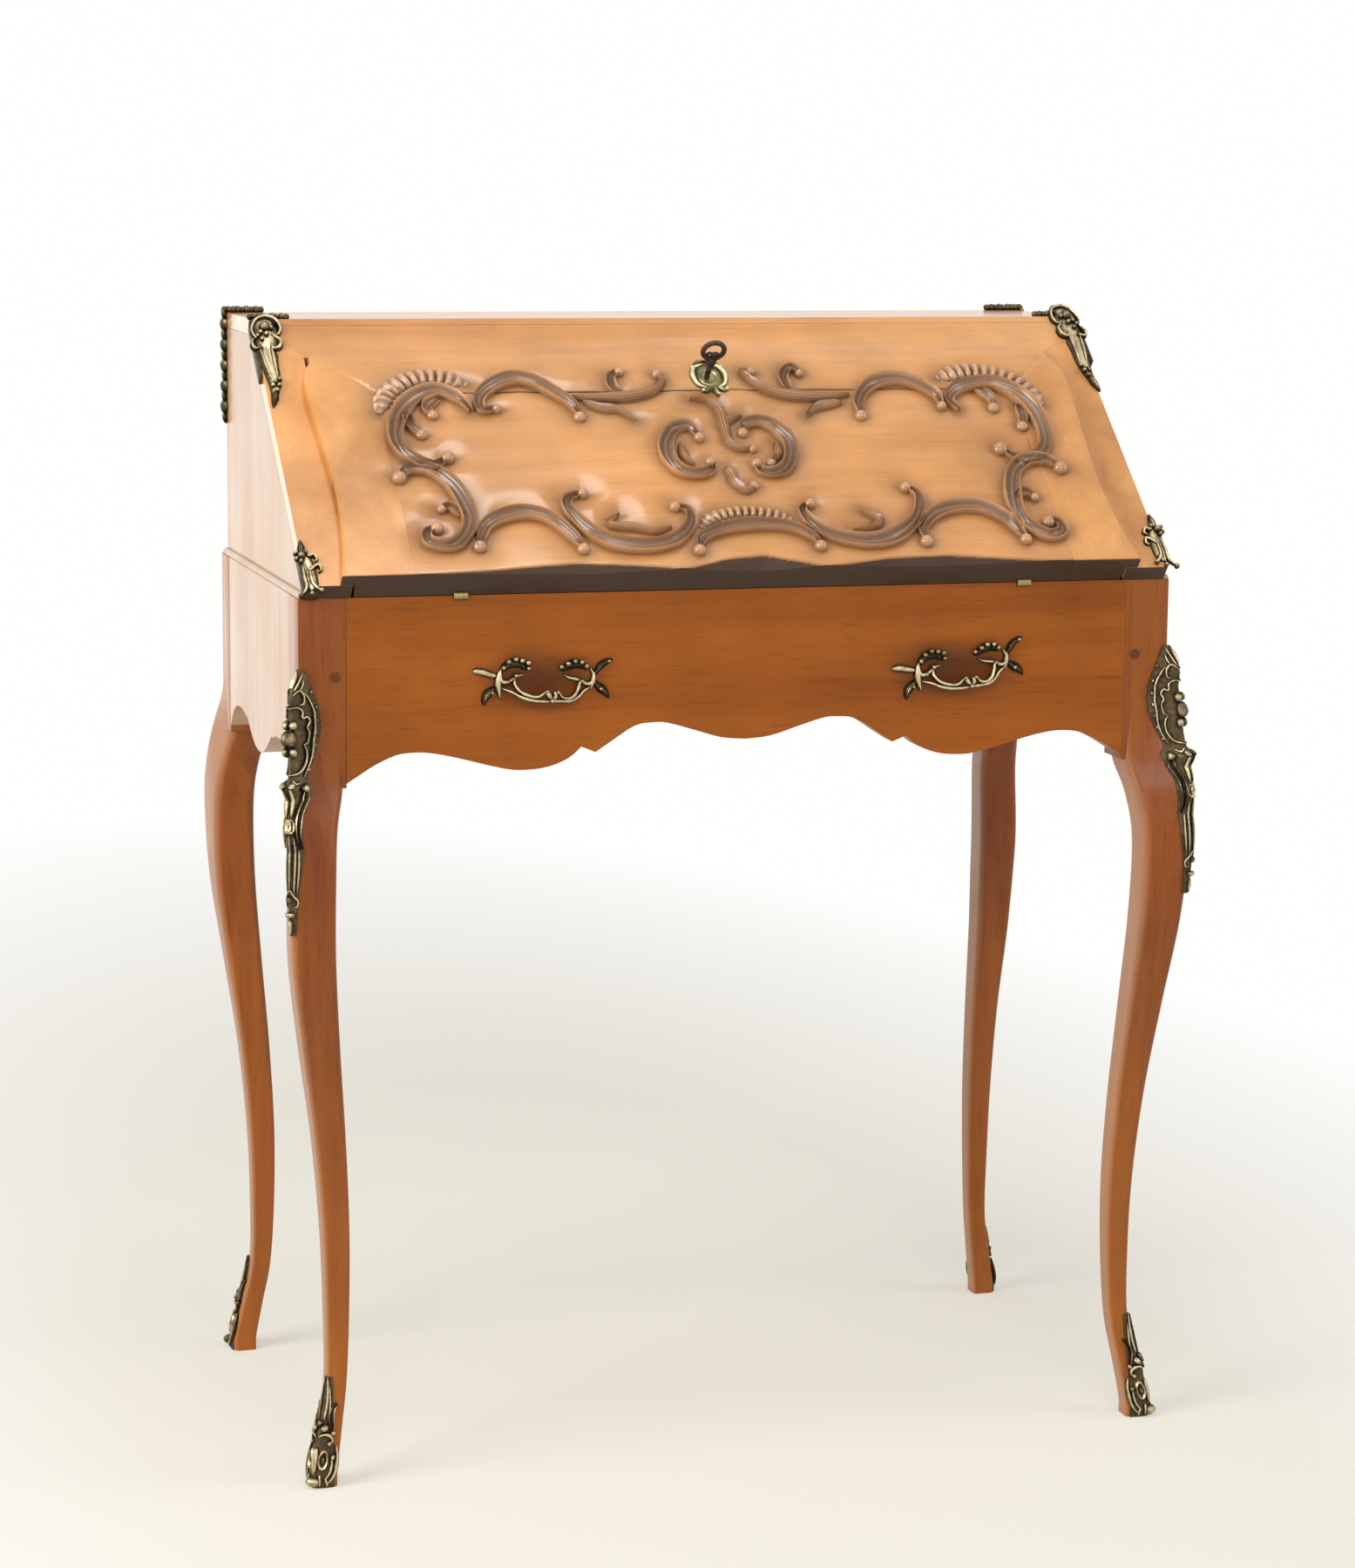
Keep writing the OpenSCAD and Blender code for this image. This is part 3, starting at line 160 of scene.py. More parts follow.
class Section(Enum):
    """Height across a carved or cast band, from one edge to the other."""

    LIPPED = (0.0, 0.8, 1.0, 0.86, 0.44, 0.26, 0.4, 0.58, 0.36, 0.2, 0.28, 0.56, 0.88, 0.7, 0.0)
    ROUND = (0.0, 0.44, 0.66, 0.83, 0.95, 1.0, 0.95, 0.83, 0.66, 0.44, 0.0)
    LEAF = (0.0, 0.5, 0.42, 0.72, 0.6, 0.9, 0.74, 1.0, 0.74, 0.9, 0.6, 0.72, 0.42, 0.5, 0.0)
    HOLLOW = (0.0, 0.9, 1.0, 0.9, 0.66, 0.46, 0.36, 0.32, 0.36, 0.46, 0.66, 0.9, 1.0, 0.9, 0.0)


@dataclass(frozen=True)
class Desk:
    """The sizes that every part of the desk shares."""

    half_w: float = 389.0
    half_d: float = 186.5
    writing_h: float = 761.0
    upper_inset: float = 5.5
    slope: float = 39.9
    shift: float = 1.2
    lid_t: float = 26.0
    frame_t: float = 14.7
    panel_half: float = 292.0
    panel_len: float = 217.0
    knee_z: float = 655.0
    post_w: float = 40.5
    lock_x: float = 9.0
    lock_s: float = 231.0

    @property
    def upper_half(self) -> float:
        """Half the width of the upper case."""
        return self.half_w - self.upper_inset

    def on_slope(self) -> Matrix:
        """From (x, up the slope, lift) in millimetres to the frame in metres."""
        low = Matrix.Translation((0, (-self.half_d + self.shift) * MM, self.writing_h * MM))
        return low @ Matrix.Rotation(math.radians(self.slope), 4, "X") @ Matrix.Scale(MM, 4)

    def plain(self) -> Matrix:
        """From the source's millimetres to the frame in metres."""
        return Matrix.Translation((0, self.shift * MM, 0)) @ Matrix.Scale(MM, 4)

    def on_front(self, x: float, z: float, tilt: float) -> Matrix:
        """From (right, up, outwards) at a point of the front in millimetres to the frame in metres.

        Args:
            x: The point, to the right.
            z: The point, upwards.
            tilt: Turn in the plane of the front, in degrees.

        Returns:
            The matrix.
        """
        at = Matrix.Translation((x * MM, (-self.half_d + self.shift) * MM, z * MM))
        turn = Matrix(((1, 0, 0, 0), (0, 0, -1, 0), (0, 1, 0, 0), (0, 0, 0, 1)))
        return at @ turn @ Matrix.Rotation(math.radians(tilt), 4, "Z") @ Matrix.Scale(MM, 4)


DESK = Desk()


def sideways(line: Sequence[Point], i: int) -> Vector:
    """Unit vector across a line at its i-th point."""
    run = (Vector(line[min(i + 1, len(line) - 1)]) - Vector(line[max(i - 1, 0)])).normalized()
    return Vector((-run.y, run.x, 0)).normalized()


def crosswise(at: Vector, side: Vector, w: float, spreads: Sequence[float], heights: Sequence[float],
              sink: float) -> Ring:
    """One ring across a band, with its two lower corners sunk in the bed.

    Args:
        at: Its middle on the bed.
        side: Unit vector across the band.
        w: Half its width.
        spreads: Its points as shares of w.
        heights: Their heights.
        sink: Depth of its lower corners.

    Returns:
        The ring.
    """
    ring = [at + side * w * spread + Vector((0, 0, height)) for spread, height in zip(spreads, heights)]
    down = Vector((0, 0, -sink))
    return ring + [at + side * w + down, at - side * w + down]


def ease(bm: bmesh.types.BMesh, edges: Iterable[bmesh.types.BMEdge], width: float, segments: int) -> None:
    """Eases some edges of a mesh."""
    bmesh.ops.bevel(bm, geom=list(edges), offset=width, segments=segments, profile=0.5, affect="EDGES",
                    material=-1)


class Form:
    """A mesh being made in millimetres in a place's own axes."""

    def __init__(self, place: Matrix) -> None:
        """Starts an empty mesh.

        Args:
            place: Where its own axes lie in the frame.
        """
        self.bm = bmesh.new()
        # Marks for worn parts, painted light and painted shade
        self.bm.verts.layers.float.new("wear_and_light")
        self.place = place

    def loft(self, rings: Sequence[Ring], caps: bool = True, wear_and_light: float | Sequence[float] = 0.4) -> None:
        """Adds a closed skin through rings of points.

        Args:
            rings: Rings with the same number of points, in order along the form.
            caps: Whether the first and the last ring are closed.
            wear_and_light: How worn the skin is, with its painted light and shade, from 0 to 1, or each
                point of a ring.
        """
        n, m = len(rings[0]), len(rings)
        worn = wear_and_light if isinstance(wear_and_light, Sequence) else [wear_and_light] * n
        bm = bmesh.new()
        bmesh.ops.create_grid(bm, x_segments=n, y_segments=m - 1, size=1)
        bm.verts.ensure_lookup_table()
        layer = bm.verts.layers.float.new("wear_and_light")
        for i, ring in enumerate(rings):
            for j in range(n + 1):
                vert = bm.verts[i * (n + 1) + j]
                vert.co = ring[j % n]
                vert[layer] = worn[j % n]
        seam = {bm.verts[i * (n + 1) + n]: bm.verts[i * (n + 1)] for i in range(m)}
        bmesh.ops.weld_verts(bm, targetmap=seam)
        if caps:
            rims = [e for e in bm.edges if e.is_boundary]
            bmesh.ops.edgeloop_fill(bm, edges=rims)
        bmesh.ops.recalc_face_normals(bm, faces=bm.faces)
        self.take(bm)

    def join(self, other: "Form") -> None:
        """Adds another form, carried from its place to this one's.

        Args:
            other: The form, which is used up.
        """
        matrix = self.place.inverted() @ other.place
        bmesh.ops.transform(other.bm, matrix=matrix, verts=other.bm.verts)
        if matrix.is_negative:
            bmesh.ops.reverse_faces(other.bm, faces=other.bm.faces)
        self.take(other.bm)

    def take(self, other: bmesh.types.BMesh, wear_and_light: float | None = None) -> None:
        """Adds another mesh's faces, marked as given for worn parts and painted light, and frees it.

        Args:
            other: The mesh.
            wear_and_light: How worn it is, with its painted light and shade, or None where it says so
                itself.
        """
        if wear_and_light is not None:
            layer = other.verts.layers.float.new("wear_and_light")
            for vert in other.verts:
                vert[layer] = wear_and_light
        mesh = bpy.data.meshes.new("part")
        other.to_mesh(mesh)
        other.free()
        self.bm.from_mesh(mesh)
        bpy.data.meshes.remove(mesh)

    def ball(self, at: Point, radii: Point, turn: Euler | None = None, around: int = 14) -> None:
        """Adds a rounded knob.

        Args:
            at: Its centre.
            radii: Its three half sizes.
            turn: How it is turned about its centre.
            around: Faces round it.
        """
        matrix = Matrix.Translation(Vector(at))
        if turn is not None:
            matrix = matrix @ turn.to_matrix().to_4x4()
        matrix = matrix @ Matrix.Diagonal((*radii, 1))
        made = bmesh.ops.create_uvsphere(self.bm, u_segments=around, v_segments=around // 2 + 1, radius=1,
                                         matrix=matrix)
        # Its crown is marked lighter and its base darker: worn with painted highlight, soiled with painted
        # shade
        self.rub(lambda co: 0.2 + 0.6 * (co.z - at[2]) / max(radii), made["verts"])

    def rub(self, value: Callable[[Vector], float], verts: Iterable[bmesh.types.BMVert]) -> None:
        """Sets how worn some points are, with their painted light and shade, by where they lie.

        Args:
            value: How worn a place is, with its painted light and shade, from 0 to 1.
            verts: The points.
        """
        layer = self.bm.verts.layers.float["wear_and_light"]
        for vert in verts:
            vert[layer] = value(vert.co)

    def newest(self, held: int) -> list[bmesh.types.BMVert]:
        """The points added since the form held so many."""
        self.bm.verts.ensure_lookup_table()
        return self.bm.verts[held:]

    def turned(self, profile: Sequence[Point], at: Matrix, around: int = 28) -> None:
        """Adds a turned form.

        Args:
            profile: (radius, height) points from one pole to the other.
            at: Where its axis, the local Z, stands.
            around: Steps of the turn.
        """
        bm = bmesh.new()
        verts = [bm.verts.new((max(r, 0.0), 0, z)) for r, z in profile]
        edges = [bm.edges.new(pair) for pair in zip(verts, verts[1:])]
        bmesh.ops.spin(bm, geom=verts + edges, cent=(0, 0, 0), axis=(0, 0, 1), dvec=(0, 0, 0),
                       angle=2 * math.pi, steps=around, use_merge=True, use_duplicate=False)
        bmesh.ops.remove_doubles(bm, verts=bm.verts, dist=ONE_POINT)
        bmesh.ops.recalc_face_normals(bm, faces=bm.faces)
        bmesh.ops.transform(bm, matrix=at, verts=bm.verts)
        self.take(bm, 0.5)

    def hoop(self, at: Point, radii: tuple[float, float], thick: tuple[float, float],
             around: int = 40) -> None:
        """Adds a ring that stands on edge in the plane of the local X and Z.

        Args:
            at: Its centre.
            radii: Its half width and half height at the middle of its bar.
            thick: Half the bar's thickness in the ring's plane and across it.
            around: Steps round it.
        """
        rings: list[Ring] = []
        for i in range(around + 1):
            a = 2 * math.pi * i / around
            spoke = Vector((math.cos(a), 0, math.sin(a)))
            middle = Vector(at) + Vector((radii[0] * spoke.x, 0, radii[1] * spoke.z))
            rings.append([middle + spoke * thick[0] * math.cos(b) + Vector((0, thick[1] * math.sin(b), 0))
                          for b in (math.pi * k / 6 for k in range(12))])
        self.loft(rings, caps=False, wear_and_light=0.5)
        bmesh.ops.remove_doubles(self.bm, verts=self.bm.verts, dist=ONE_POINT)

    def block(self, low: Point, high: Point, edge: float) -> None:
        """Adds a block with eased edges.

        Args:
            low: Its lowest corner.
            high: Its highest corner.
            edge: Width of the easing.
        """
        bm = bmesh.new()
        size = Vector(high) - Vector(low)
        matrix = Matrix.Translation((Vector(high) + Vector(low)) / 2) @ Matrix.Diagonal((*size, 1))
        bmesh.ops.create_cube(bm, size=1, matrix=matrix)
        ease(bm, bm.edges, edge, EASING)
        self.take(bm, 0.3)

    def band(self, path: Sequence[Point], width: Callable[[float], float], height: Callable[[float], float],
             section: Section, spacing: float = 2.2, sink: float = 1.2, rub: float = 1.4) -> None:
        """Adds a carved or cast band along a path.

        Args:
            path: Points (x, y, lift of its bed) that it runs through.
            width: Half its width at a share of its length.
            height: Its height at a share of its length.
            section: Its form across.
            spacing: Distance between its rings.
            sink: How far its sides go below its bed.
            rub: How quickly it darkens below its top, soiling and painted shade, as a power.
        """
        line = even([(*p, 0.0)[:3] for p in path], spacing)
        last = len(line) - 1
        marks = section.value
        spreads = [math.sin(math.pi * (j / (len(marks) - 1) - 0.5)) for j in range(len(marks))]
        rings: list[Ring] = []
        for i, at in enumerate(line):
            w, h = width(i / last), height(i / last)
            heights = [h * mark for mark in marks]
            rings.append(crosswise(Vector(at), sideways(line, i), w, spreads, heights, sink))
        # Its top is marked worn bright with painted highlight, its sides darker with soiling and painted
        # shade
        self.loft(rings, wear_and_light=[0.04 + 0.96 * mark**rub for mark in marks] + [0.0, 0.0])

    def oval(self, at: Point, radii: tuple[float, float], width: float, height: float) -> None:
        """Adds an oval ring lying on the bed.

        Args:
            at: Its centre.
            radii: Its half width and half height.
            width: Half the width of its bar.
            height: Height of its bar.
        """
        around = 28
        turns = [2 * math.pi * i / around for i in range(around)]
        path = [(at[0] + radii[0] * math.cos(a), at[1] + radii[1] * math.sin(a)) for a in turns]
        rings: list[Ring] = []
        for q, mark in ((-1, 0.0), (-0.5, 0.7), (0, 1.0), (0.5, 0.7), (1, 0.0), (0, -0.4)):
            across, up = width * q / radii[0], width * q / radii[1]
            rings.append([Vector((x + (x - at[0]) * across, y + (y - at[1]) * up, height * mark))
                          for x, y in path])
        rings.append(rings[0])
        self.loft(rings, caps=False, wear_and_light=0.85)

    def warp(self, bend_point: Callable[[Vector], Vector]) -> None:
        """Moves every point of the mesh through a function."""
        for v in self.bm.verts:
            v.co = bend_point(v.co)

    def piece(self, name: str, body: str, finish: "Finish", replaces: Iterable[str] = (),
              sharp: float = 40.0) -> bpy.types.Object:
        """Makes the mesh an object of the desk.

        Args:
            name: The object's name.
            body: The body it rides on.
            finish: What it is finished with.
            replaces: CAD nodes that it stands for.
            sharp: Angle in degrees from which an edge stays crisp.

        Returns:
            The object.
        """
        bmesh.ops.transform(self.bm, matrix=self.place, verts=self.bm.verts)
        if self.place.is_negative:
            bmesh.ops.reverse_faces(self.bm, faces=self.bm.faces)
        return settle(self.bm, name, body, finish, replaces, sharp)


def settle(bm: bmesh.types.BMesh, name: str, body: str, finish: "Finish", replaces: Iterable[str],
           sharp: float) -> bpy.types.Object:
    """Turns a bmesh in metres into a dressed object of the desk, and frees it.

    Args:
        bm: The mesh.
        name: The object's name.
        body: The body it rides on.
        finish: What it is finished with.
        replaces: CAD nodes that it stands for.
        sharp: Angle in degrees from which an edge stays crisp.

    Returns:
        The object.
    """
    mesh = bpy.data.meshes.new(name)
    bm.to_mesh(mesh)
    bm.free()
    mesh.shade_smooth()
    mesh.set_sharp_from_angle(angle=math.radians(sharp))
    mesh.materials.append(finish.material())
    obj = bpy.data.objects.new(name, mesh)
    bpy.context.scene.collection.objects.link(obj)
    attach(obj, body)
    nodes = list(replaces)
    if nodes:
        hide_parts(*nodes)
    log.info("%s: %d faces on %s", name, len(mesh.polygons), body)
    return obj


class Tree:
    """A shader node tree being built."""

    def __init__(self, tree: bpy.types.NodeTree) -> None:
        """Starts from an empty tree."""
        self.tree = tree
        self.tree.nodes.clear()

    def add(self, kind: str, **inputs: object) -> bpy.types.Node:
        """Adds a node, and sets its properties and sockets by name; a socket given is linked.

        Args:
            kind: The node's type.
            inputs: Properties and sockets, as put takes them.

        Returns:
            The node.
        """
        node = self.tree.nodes.new(kind)
        for key, value in inputs.items():
            self.put(node, key, value)
        return node

    def put(self, node: bpy.types.Node, key: str, value: object) -> None:
        """Sets a property or an input of a node by name or, after an underscore, by number.

        Args:
            node: The node.
            key: The property or the input.
            value: Its value, or a socket to link.
        """
        if hasattr(node, key):
            setattr(node, key, value)
            return
        socket = node.inputs[int(key[1:])] if key[0] == "_" else node.inputs[key.replace("_", " ")]
        if isinstance(value, Socket):
            self.tree.links.new(value, socket)
        else:
            socket.default_value = value

    def sum(self, a: object, b: object, way: str = "ADD") -> Socket:
        """Arithmetic on two numbers."""
        return self.add("ShaderNodeMath", operation=way, _0=a, _1=b).outputs[0]

    def times(self, a: object, b: object) -> Socket:
        """Product of two numbers."""
        return self.sum(a, b, "MULTIPLY")

    def less(self, a: object, b: object) -> Socket:
        """The first number less the second."""
        return self.sum(a, b, "SUBTRACT")

    def eye(self) -> Socket:
        """1 for what the eye meets, straight on or in a reflection."""
        path = self.add("ShaderNodeLightPath").outputs
        return self.sum(path["Is Camera Ray"], path["Is Glossy Ray"], "MAXIMUM")

    def pick(self, factor: Socket, a: Socket, b: Socket) -> Socket:
        """Mixes two shaders."""
        return self.add("ShaderNodeMixShader", _0=factor, _1=a, _2=b).outputs[0]


class Graph(Tree):
    """The tree of a material."""

    def __init__(self, name: str) -> None:
        """Starts a material with a Principled shader on its output.

        Args:
            name: The material's name.
        """
        self.material = bpy.data.materials.new(name)
        self.material.use_nodes = True
        super().__init__(self.material.node_tree)
        self.shader = self.add("ShaderNodeBsdfPrincipled")
        self.output = self.add("ShaderNodeOutputMaterial", Surface=self.shader.outputs["BSDF"])
        self.place = self.add("ShaderNodeTexCoord").outputs["Object"]

    def scaled(self, scale: Point, offset: Point = (0, 0, 0), turn: float = 0.0) -> Socket:
        """The object's coordinates in metres, turned about Z, times a scale and moved."""
        return self.add("ShaderNodeMapping", Vector=self.place, Scale=tuple(scale), Location=tuple(offset),
                        Rotation=(0, 0, turn)).outputs["Vector"]

    def grain(self, scale: Point, detail: float = 4.0, rough: float = 0.55, bent: float = 0.0) -> Socket:
        """Noise on coordinates that are stretched by scale."""
        return self.add("ShaderNodeTexNoise", Vector=self.scaled(scale), Scale=1.0, Detail=detail,
                        Roughness=rough, Distortion=bent).outputs[0]

    def swing(self, noise: Socket, reach: float) -> Socket:
        """Noise about zero, times a reach."""
        return self.times(self.less(noise, 0.5), reach)

    def steps(self, factor: Socket, stops: Sequence[tuple[float, float]]) -> Socket:
        """Grey ramp of a factor through (place, value) stops."""
        return self.ramp(factor, [(p, (v, v, v, 1.0)) for p, v in stops])

    def ramp(self, factor: Socket, stops: Sequence[tuple[float, Point]]) -> Socket:
        """Colour ramp of a factor through (place, colour) stops.

        Args:
            factor: The factor.
            stops: The stops, in order.

        Returns:
            The colour.
        """
        node = self.add("ShaderNodeValToRGB", _0=factor)
        elements = node.color_ramp.elements
        while len(elements) < len(stops):
            elements.new(0.5)
        for element, (place, colour) in zip(elements, stops):
            element.position = place
            element.color = colour
        return node.outputs["Color"]

    def mix(self, factor: object, a: object, b: object, way: str = "MIX") -> Socket:
        """Mixes two colours."""
        return self.add("ShaderNodeMix", data_type="RGBA", blend_type=way, _0=factor, _6=a, _7=b).outputs[2]

    def vectors(self, way: str, **inputs: object) -> Socket:
        """A number worked out of vectors."""
        return self.add("ShaderNodeVectorMath", operation=way, **inputs).outputs["Value"]

    def run(self, value: Socket, low: float, high: float, top: float = 1.0) -> Socket:
        """From 0 to top while a number runs from low to high."""
        return self.add("ShaderNodeMapRange", Value=value, From_Min=low, From_Max=high,
                        To_Max=top).outputs["Result"]

    def rubbed_and_lit(self) -> Socket:
        """How worn the surface is, with its painted light and shade, as its points say."""
        return self.add("ShaderNodeAttribute", attribute_name="wear_and_light").outputs["Fac"]

    def hollows(self, reach: float) -> Socket:
        """Near 1 on open surfaces and near 0 in hollows narrower than reach, in metres."""
        node = self.add("ShaderNodeAmbientOcclusion", samples=6, only_local=True, Distance=reach)
        return node.outputs["AO"]

    def bump(self, height: Socket, strength: float, depth: float) -> None:
        """Raises the surface by a height times depth, in metres."""
        node = self.add("ShaderNodeBump", Height=height, Strength=strength, Distance=depth)
        self.set(Normal=node.outputs["Normal"])

    def set(self, **inputs: object) -> None:
        """Sets or links inputs of the shader."""
        for key, value in inputs.items():
            self.put(self.shader, key, value)


class Grain(Enum):
    """The axis that the grain runs along, as stretch factors of the noise."""

    X = (0.06, 1.0, 1.0)
    Y = (1.0, 0.06, 1.0)
    Z = (1.0, 1.0, 0.06)


class Finish:
    """A finish that makes its material once."""

    slot: str
    name: str
    made: ClassVar[dict[str, bpy.types.Material]] = {}

    def material(self) -> bpy.types.Material:
        """The finish's material.

        Returns:
            The material, the same one each time.
        """
        if self.name not in Finish.made:
            Finish.made[self.name] = self.build()
        return Finish.made[self.name]

    def build(self) -> bpy.types.Material:
        """Builds the material."""
        raise NotImplementedError


@dataclass(frozen=True)
class Wood(Finish):
    """Waxed or polished wood.

    The colours run from its dark lines to its light ground. Gloss is the weight of the polish, and
    age the share of grey soiling and painted shade that lies in hollows. It can also carry painted
    light, lighter near the floor and on the faces that look to the left, and painted shade, on the
    lower end face of the slope and, with soiling, round the pulls.
    """

    name: str
    slot: str
    dark: Colour
    middle: Colour
    light: Colour
    grain: Grain = Grain.X
    fineness: float = 46.0
    gloss: float = 0.4
    roughness: float = 0.38
    age: float = 0.0
    # The dark colour: soiling, and painted shade where the marks say
    dirt_and_shade: Colour = (86, 66, 52)
    cloud: float = 0.35
    shine: float = 0.25
    # Whether it reads its points' marks: worn parts, painted light and painted shade
    worn: bool = False
    # How much lighter the wood is made near the floor: painted light
    foot: float = 0.0
    pores: float = 0.55
    # Painted window light on the faces that look to the left, and its colour
    painted_side_light: float = 0.0
    painted_side_light_colour: Colour = (196, 162, 128)
    # Painted shade on the lower end face of the slope
    painted_shade_end: bool = False
    # Places darkened round the pulls, soiling and painted shade: centre x and z, half width and half
    # height, in metres
    grime_and_shade_spots: tuple[tuple[float, float, float, float], ...] = ()
    # How far up the slope the painted shade on the lower end reaches, and where it has faded, in metres
    end: tuple[float, float] = (0.0003, 0.0007)

    def build(self) -> bpy.types.Material:
        """Builds the material.

        Returns:
            The material.
        """
        g = Graph(self.name)
        stretch = self.grain.value
        wide = g.grain([9 * v for v in stretch], 3.0, 0.5, 0.6)
        figure = g.grain([self.fineness * v for v in stretch], 6.0, 0.62, 0.4)
        fine = g.grain([420 * v for v in stretch], 3.0, 0.6)
        blots = g.grain((11, 11, 11), 3.0, 0.5)
        tone = g.sum(g.times(figure, 0.62), g.times(wide, 0.38))
        tones = (linear(self.dark), linear(self.middle), linear(self.light))
        ground = g.ramp(tone, list(zip((0.30, 0.46, 0.64), tones)))
        ground = g.mix(self.pores, ground, g.steps(fine, [(0.30, 0.55), (0.43, 1.0)]), "MULTIPLY")
        shade = g.steps(blots, [(0.32, 1.0 - self.cloud * 0.5), (0.68, 1.0)])
        ground = g.mix(1.0, ground, shade, "MULTIPLY")
        # Painted light: lighter towards the floor
        if self.foot:
            up = g.add("ShaderNodeSeparateXYZ", Vector=g.place).outputs["Z"]
            painted_low_light = g.steps(up, [(0.0, self.foot), (0.42, 0.0)])
            ground = g.mix(painted_low_light, ground, linear(self.light), "SCREEN")
        # Painted window light where the points are marked for it
        if self.painted_side_light:
            ground = g.mix(g.times(g.rubbed_and_lit(), self.painted_side_light), ground, linear(self.painted_side_light_colour))
        # Soiling and painted shade round the pulls
        for x, z, wide_by, high_by in self.grime_and_shade_spots:
            spot = g.scaled((1 / wide_by, 0, 1 / high_by), (-x / wide_by, 0, -z / high_by))
            away = g.sum(g.vectors("LENGTH", _0=spot), g.swing(blots, 0.6))
            shade = g.steps(away, [(0.15, 0.36), (0.6, 0.66), (1.0, 1.0)])
            ground = g.mix(1.0, ground, shade, "MULTIPLY")
        coat: object = self.gloss
        # Painted shade on the lower end face, which turns downwards, with its polish taken off
        if self.painted_shade_end:
            foot, up = DESK.on_slope().translation, DESK.on_slope().col[1].xyz.normalized()
            along = g.less(g.vectors("DOT_PRODUCT", _0=g.place, _1=up), foot.dot(up))
            end = g.run(along, self.end[1], self.end[0], 0.94)
            ground = g.mix(end, ground, linear(self.dirt_and_shade))
            coat = g.less(self.gloss, g.times(end, self.gloss))
        if self.worn:
            seen = g.sum(g.rubbed_and_lit(), g.swing(blots, 0.12))
            # Grey in the hollows and low parts, soiling and painted shade, with the worn high parts left
            # light
            if self.age:
                seen = g.sum(g.times(seen, 0.55), g.times(g.hollows(0.007), 0.45))
                mask = g.steps(seen, [(0.24, self.age), (0.6, self.age * 0.56), (0.92, 0.04)])
            else:
                # Dark where the points say: painted shade on the lid's lower end face, and darker near the
                # carving and on the worn arris
                mask = g.steps(seen, [(0.03, 0.94), (0.12, 0.5), (0.3, 0.2), (0.5, 0.0)])
                coat = g.less(self.gloss, g.times(mask, self.gloss * 0.9))
            ground = g.mix(mask, ground, linear(self.dirt_and_shade))
        polish = g.steps(blots, [(0.3, self.roughness * 0.85), (0.7, self.roughness * 1.2)])
        g.set(Base_Color=ground, Roughness=polish, Coat_Weight=coat, Coat_Roughness=0.14, IOR=1.5,
              Specular_IOR_Level=self.shine)
        g.bump(g.sum(fine, figure), 0.35, 0.00022)
        return g.material


@dataclass(frozen=True)
class Metal(Finish):
    """Cast or wrought metal, soiled with painted shade in its hollows, worn bright with painted highlights
    on top.
    """

    name: str
    slot: str
    dirt_and_shade: Colour
    middle: Colour
    rubbed_and_lit: Colour
    roughness: float = 0.34
    metallic: float = 0.9
    reach: float = 0.0035
    pitting: float = 0.00018
    # Whether it reads its points' marks: worn high parts with painted highlight
    worn: bool = False
    stops: tuple[float, float, float] = (0.28, 0.6, 0.97)

    def build(self) -> bpy.types.Material:
        """Builds the material.

        Returns:
            The material.
        """
        g = Graph(self.name)
        open_part = g.hollows(self.reach)
        mottle = g.grain((260, 260, 260), 5.0, 0.62, 0.2)
        broad = g.grain((60, 60, 60), 3.0, 0.5)
        if self.worn:
            open_part = g.sum(g.times(g.rubbed_and_lit(), 0.62), g.times(open_part, 0.38))
        # Dark in the hollows, soiling and painted shade, and light on the high parts, worn metal and
        # painted highlight
        seen = g.sum(g.sum(open_part, g.swing(mottle, 0.5)), g.swing(broad, 0.4))
        tones = (linear(self.dirt_and_shade), linear(self.middle), linear(self.rubbed_and_lit))
        colour = g.ramp(seen, list(zip(self.stops, tones)))
        rough = g.steps(seen, [(0.3, min(1.0, self.roughness * 1.9)), (0.95, self.roughness)])
        g.set(Base_Color=colour, Roughness=rough, Metallic=self.metallic)
        g.bump(mottle, 0.5, self.pitting)
        return g.material


@dataclass(frozen=True)
class Leather(Finish):
    """Writing leather with a fine grain."""

    name: str
    slot: str
    dark: Colour
    light: Colour

    def build(self) -> bpy.types.Material:
        """Builds the material.

        Returns:
            The material.
        """
        g = Graph(self.name)
        spots = g.scaled((620, 620, 620))
        cells = g.add("ShaderNodeTexVoronoi", feature="F1", Vector=spots, Scale=1.0).outputs["Distance"]
        worn = g.grain((14, 14, 14), 4.0, 0.6)
        colour = g.ramp(worn, [(0.32, linear(self.dark)), (0.68, linear(self.light))])
        colour = g.mix(0.35, colour, g.steps(cells, [(0.0, 1.0), (0.75, 0.45)]), "MULTIPLY")
        g.set(Base_Color=colour, Roughness=g.steps(worn, [(0.3, 0.62), (0.7, 0.45)]))
        g.bump(g.less(1.0, cells), 0.6, 0.0003)
        return g.material


# Painted light: the legs are made lighter near the floor and on the faces that look to the left
LEG = Wood("leg wood", "leg_wood", (110, 50, 9), (138, 70, 16), (158, 87, 24), Grain.Z, gloss=0.24,
    roughness=0.42, shine=0.2, foot=0.32, painted_side_light=0.32)
# The apron is darkened round its pulls: soiling and painted shade
APRON = Wood("apron veneer", "apron_wood", (128, 61, 12), (151, 80, 18), (168, 92, 24), Grain.X, 24,
    gloss=0.06, shine=0.2, grime_and_shade_spots=((-0.18, 0.688, 0.064, 0.03), (0.1935, 0.689, 0.064, 0.03)))
BACK = replace(APRON, name="back veneer", grime_and_shade_spots=())
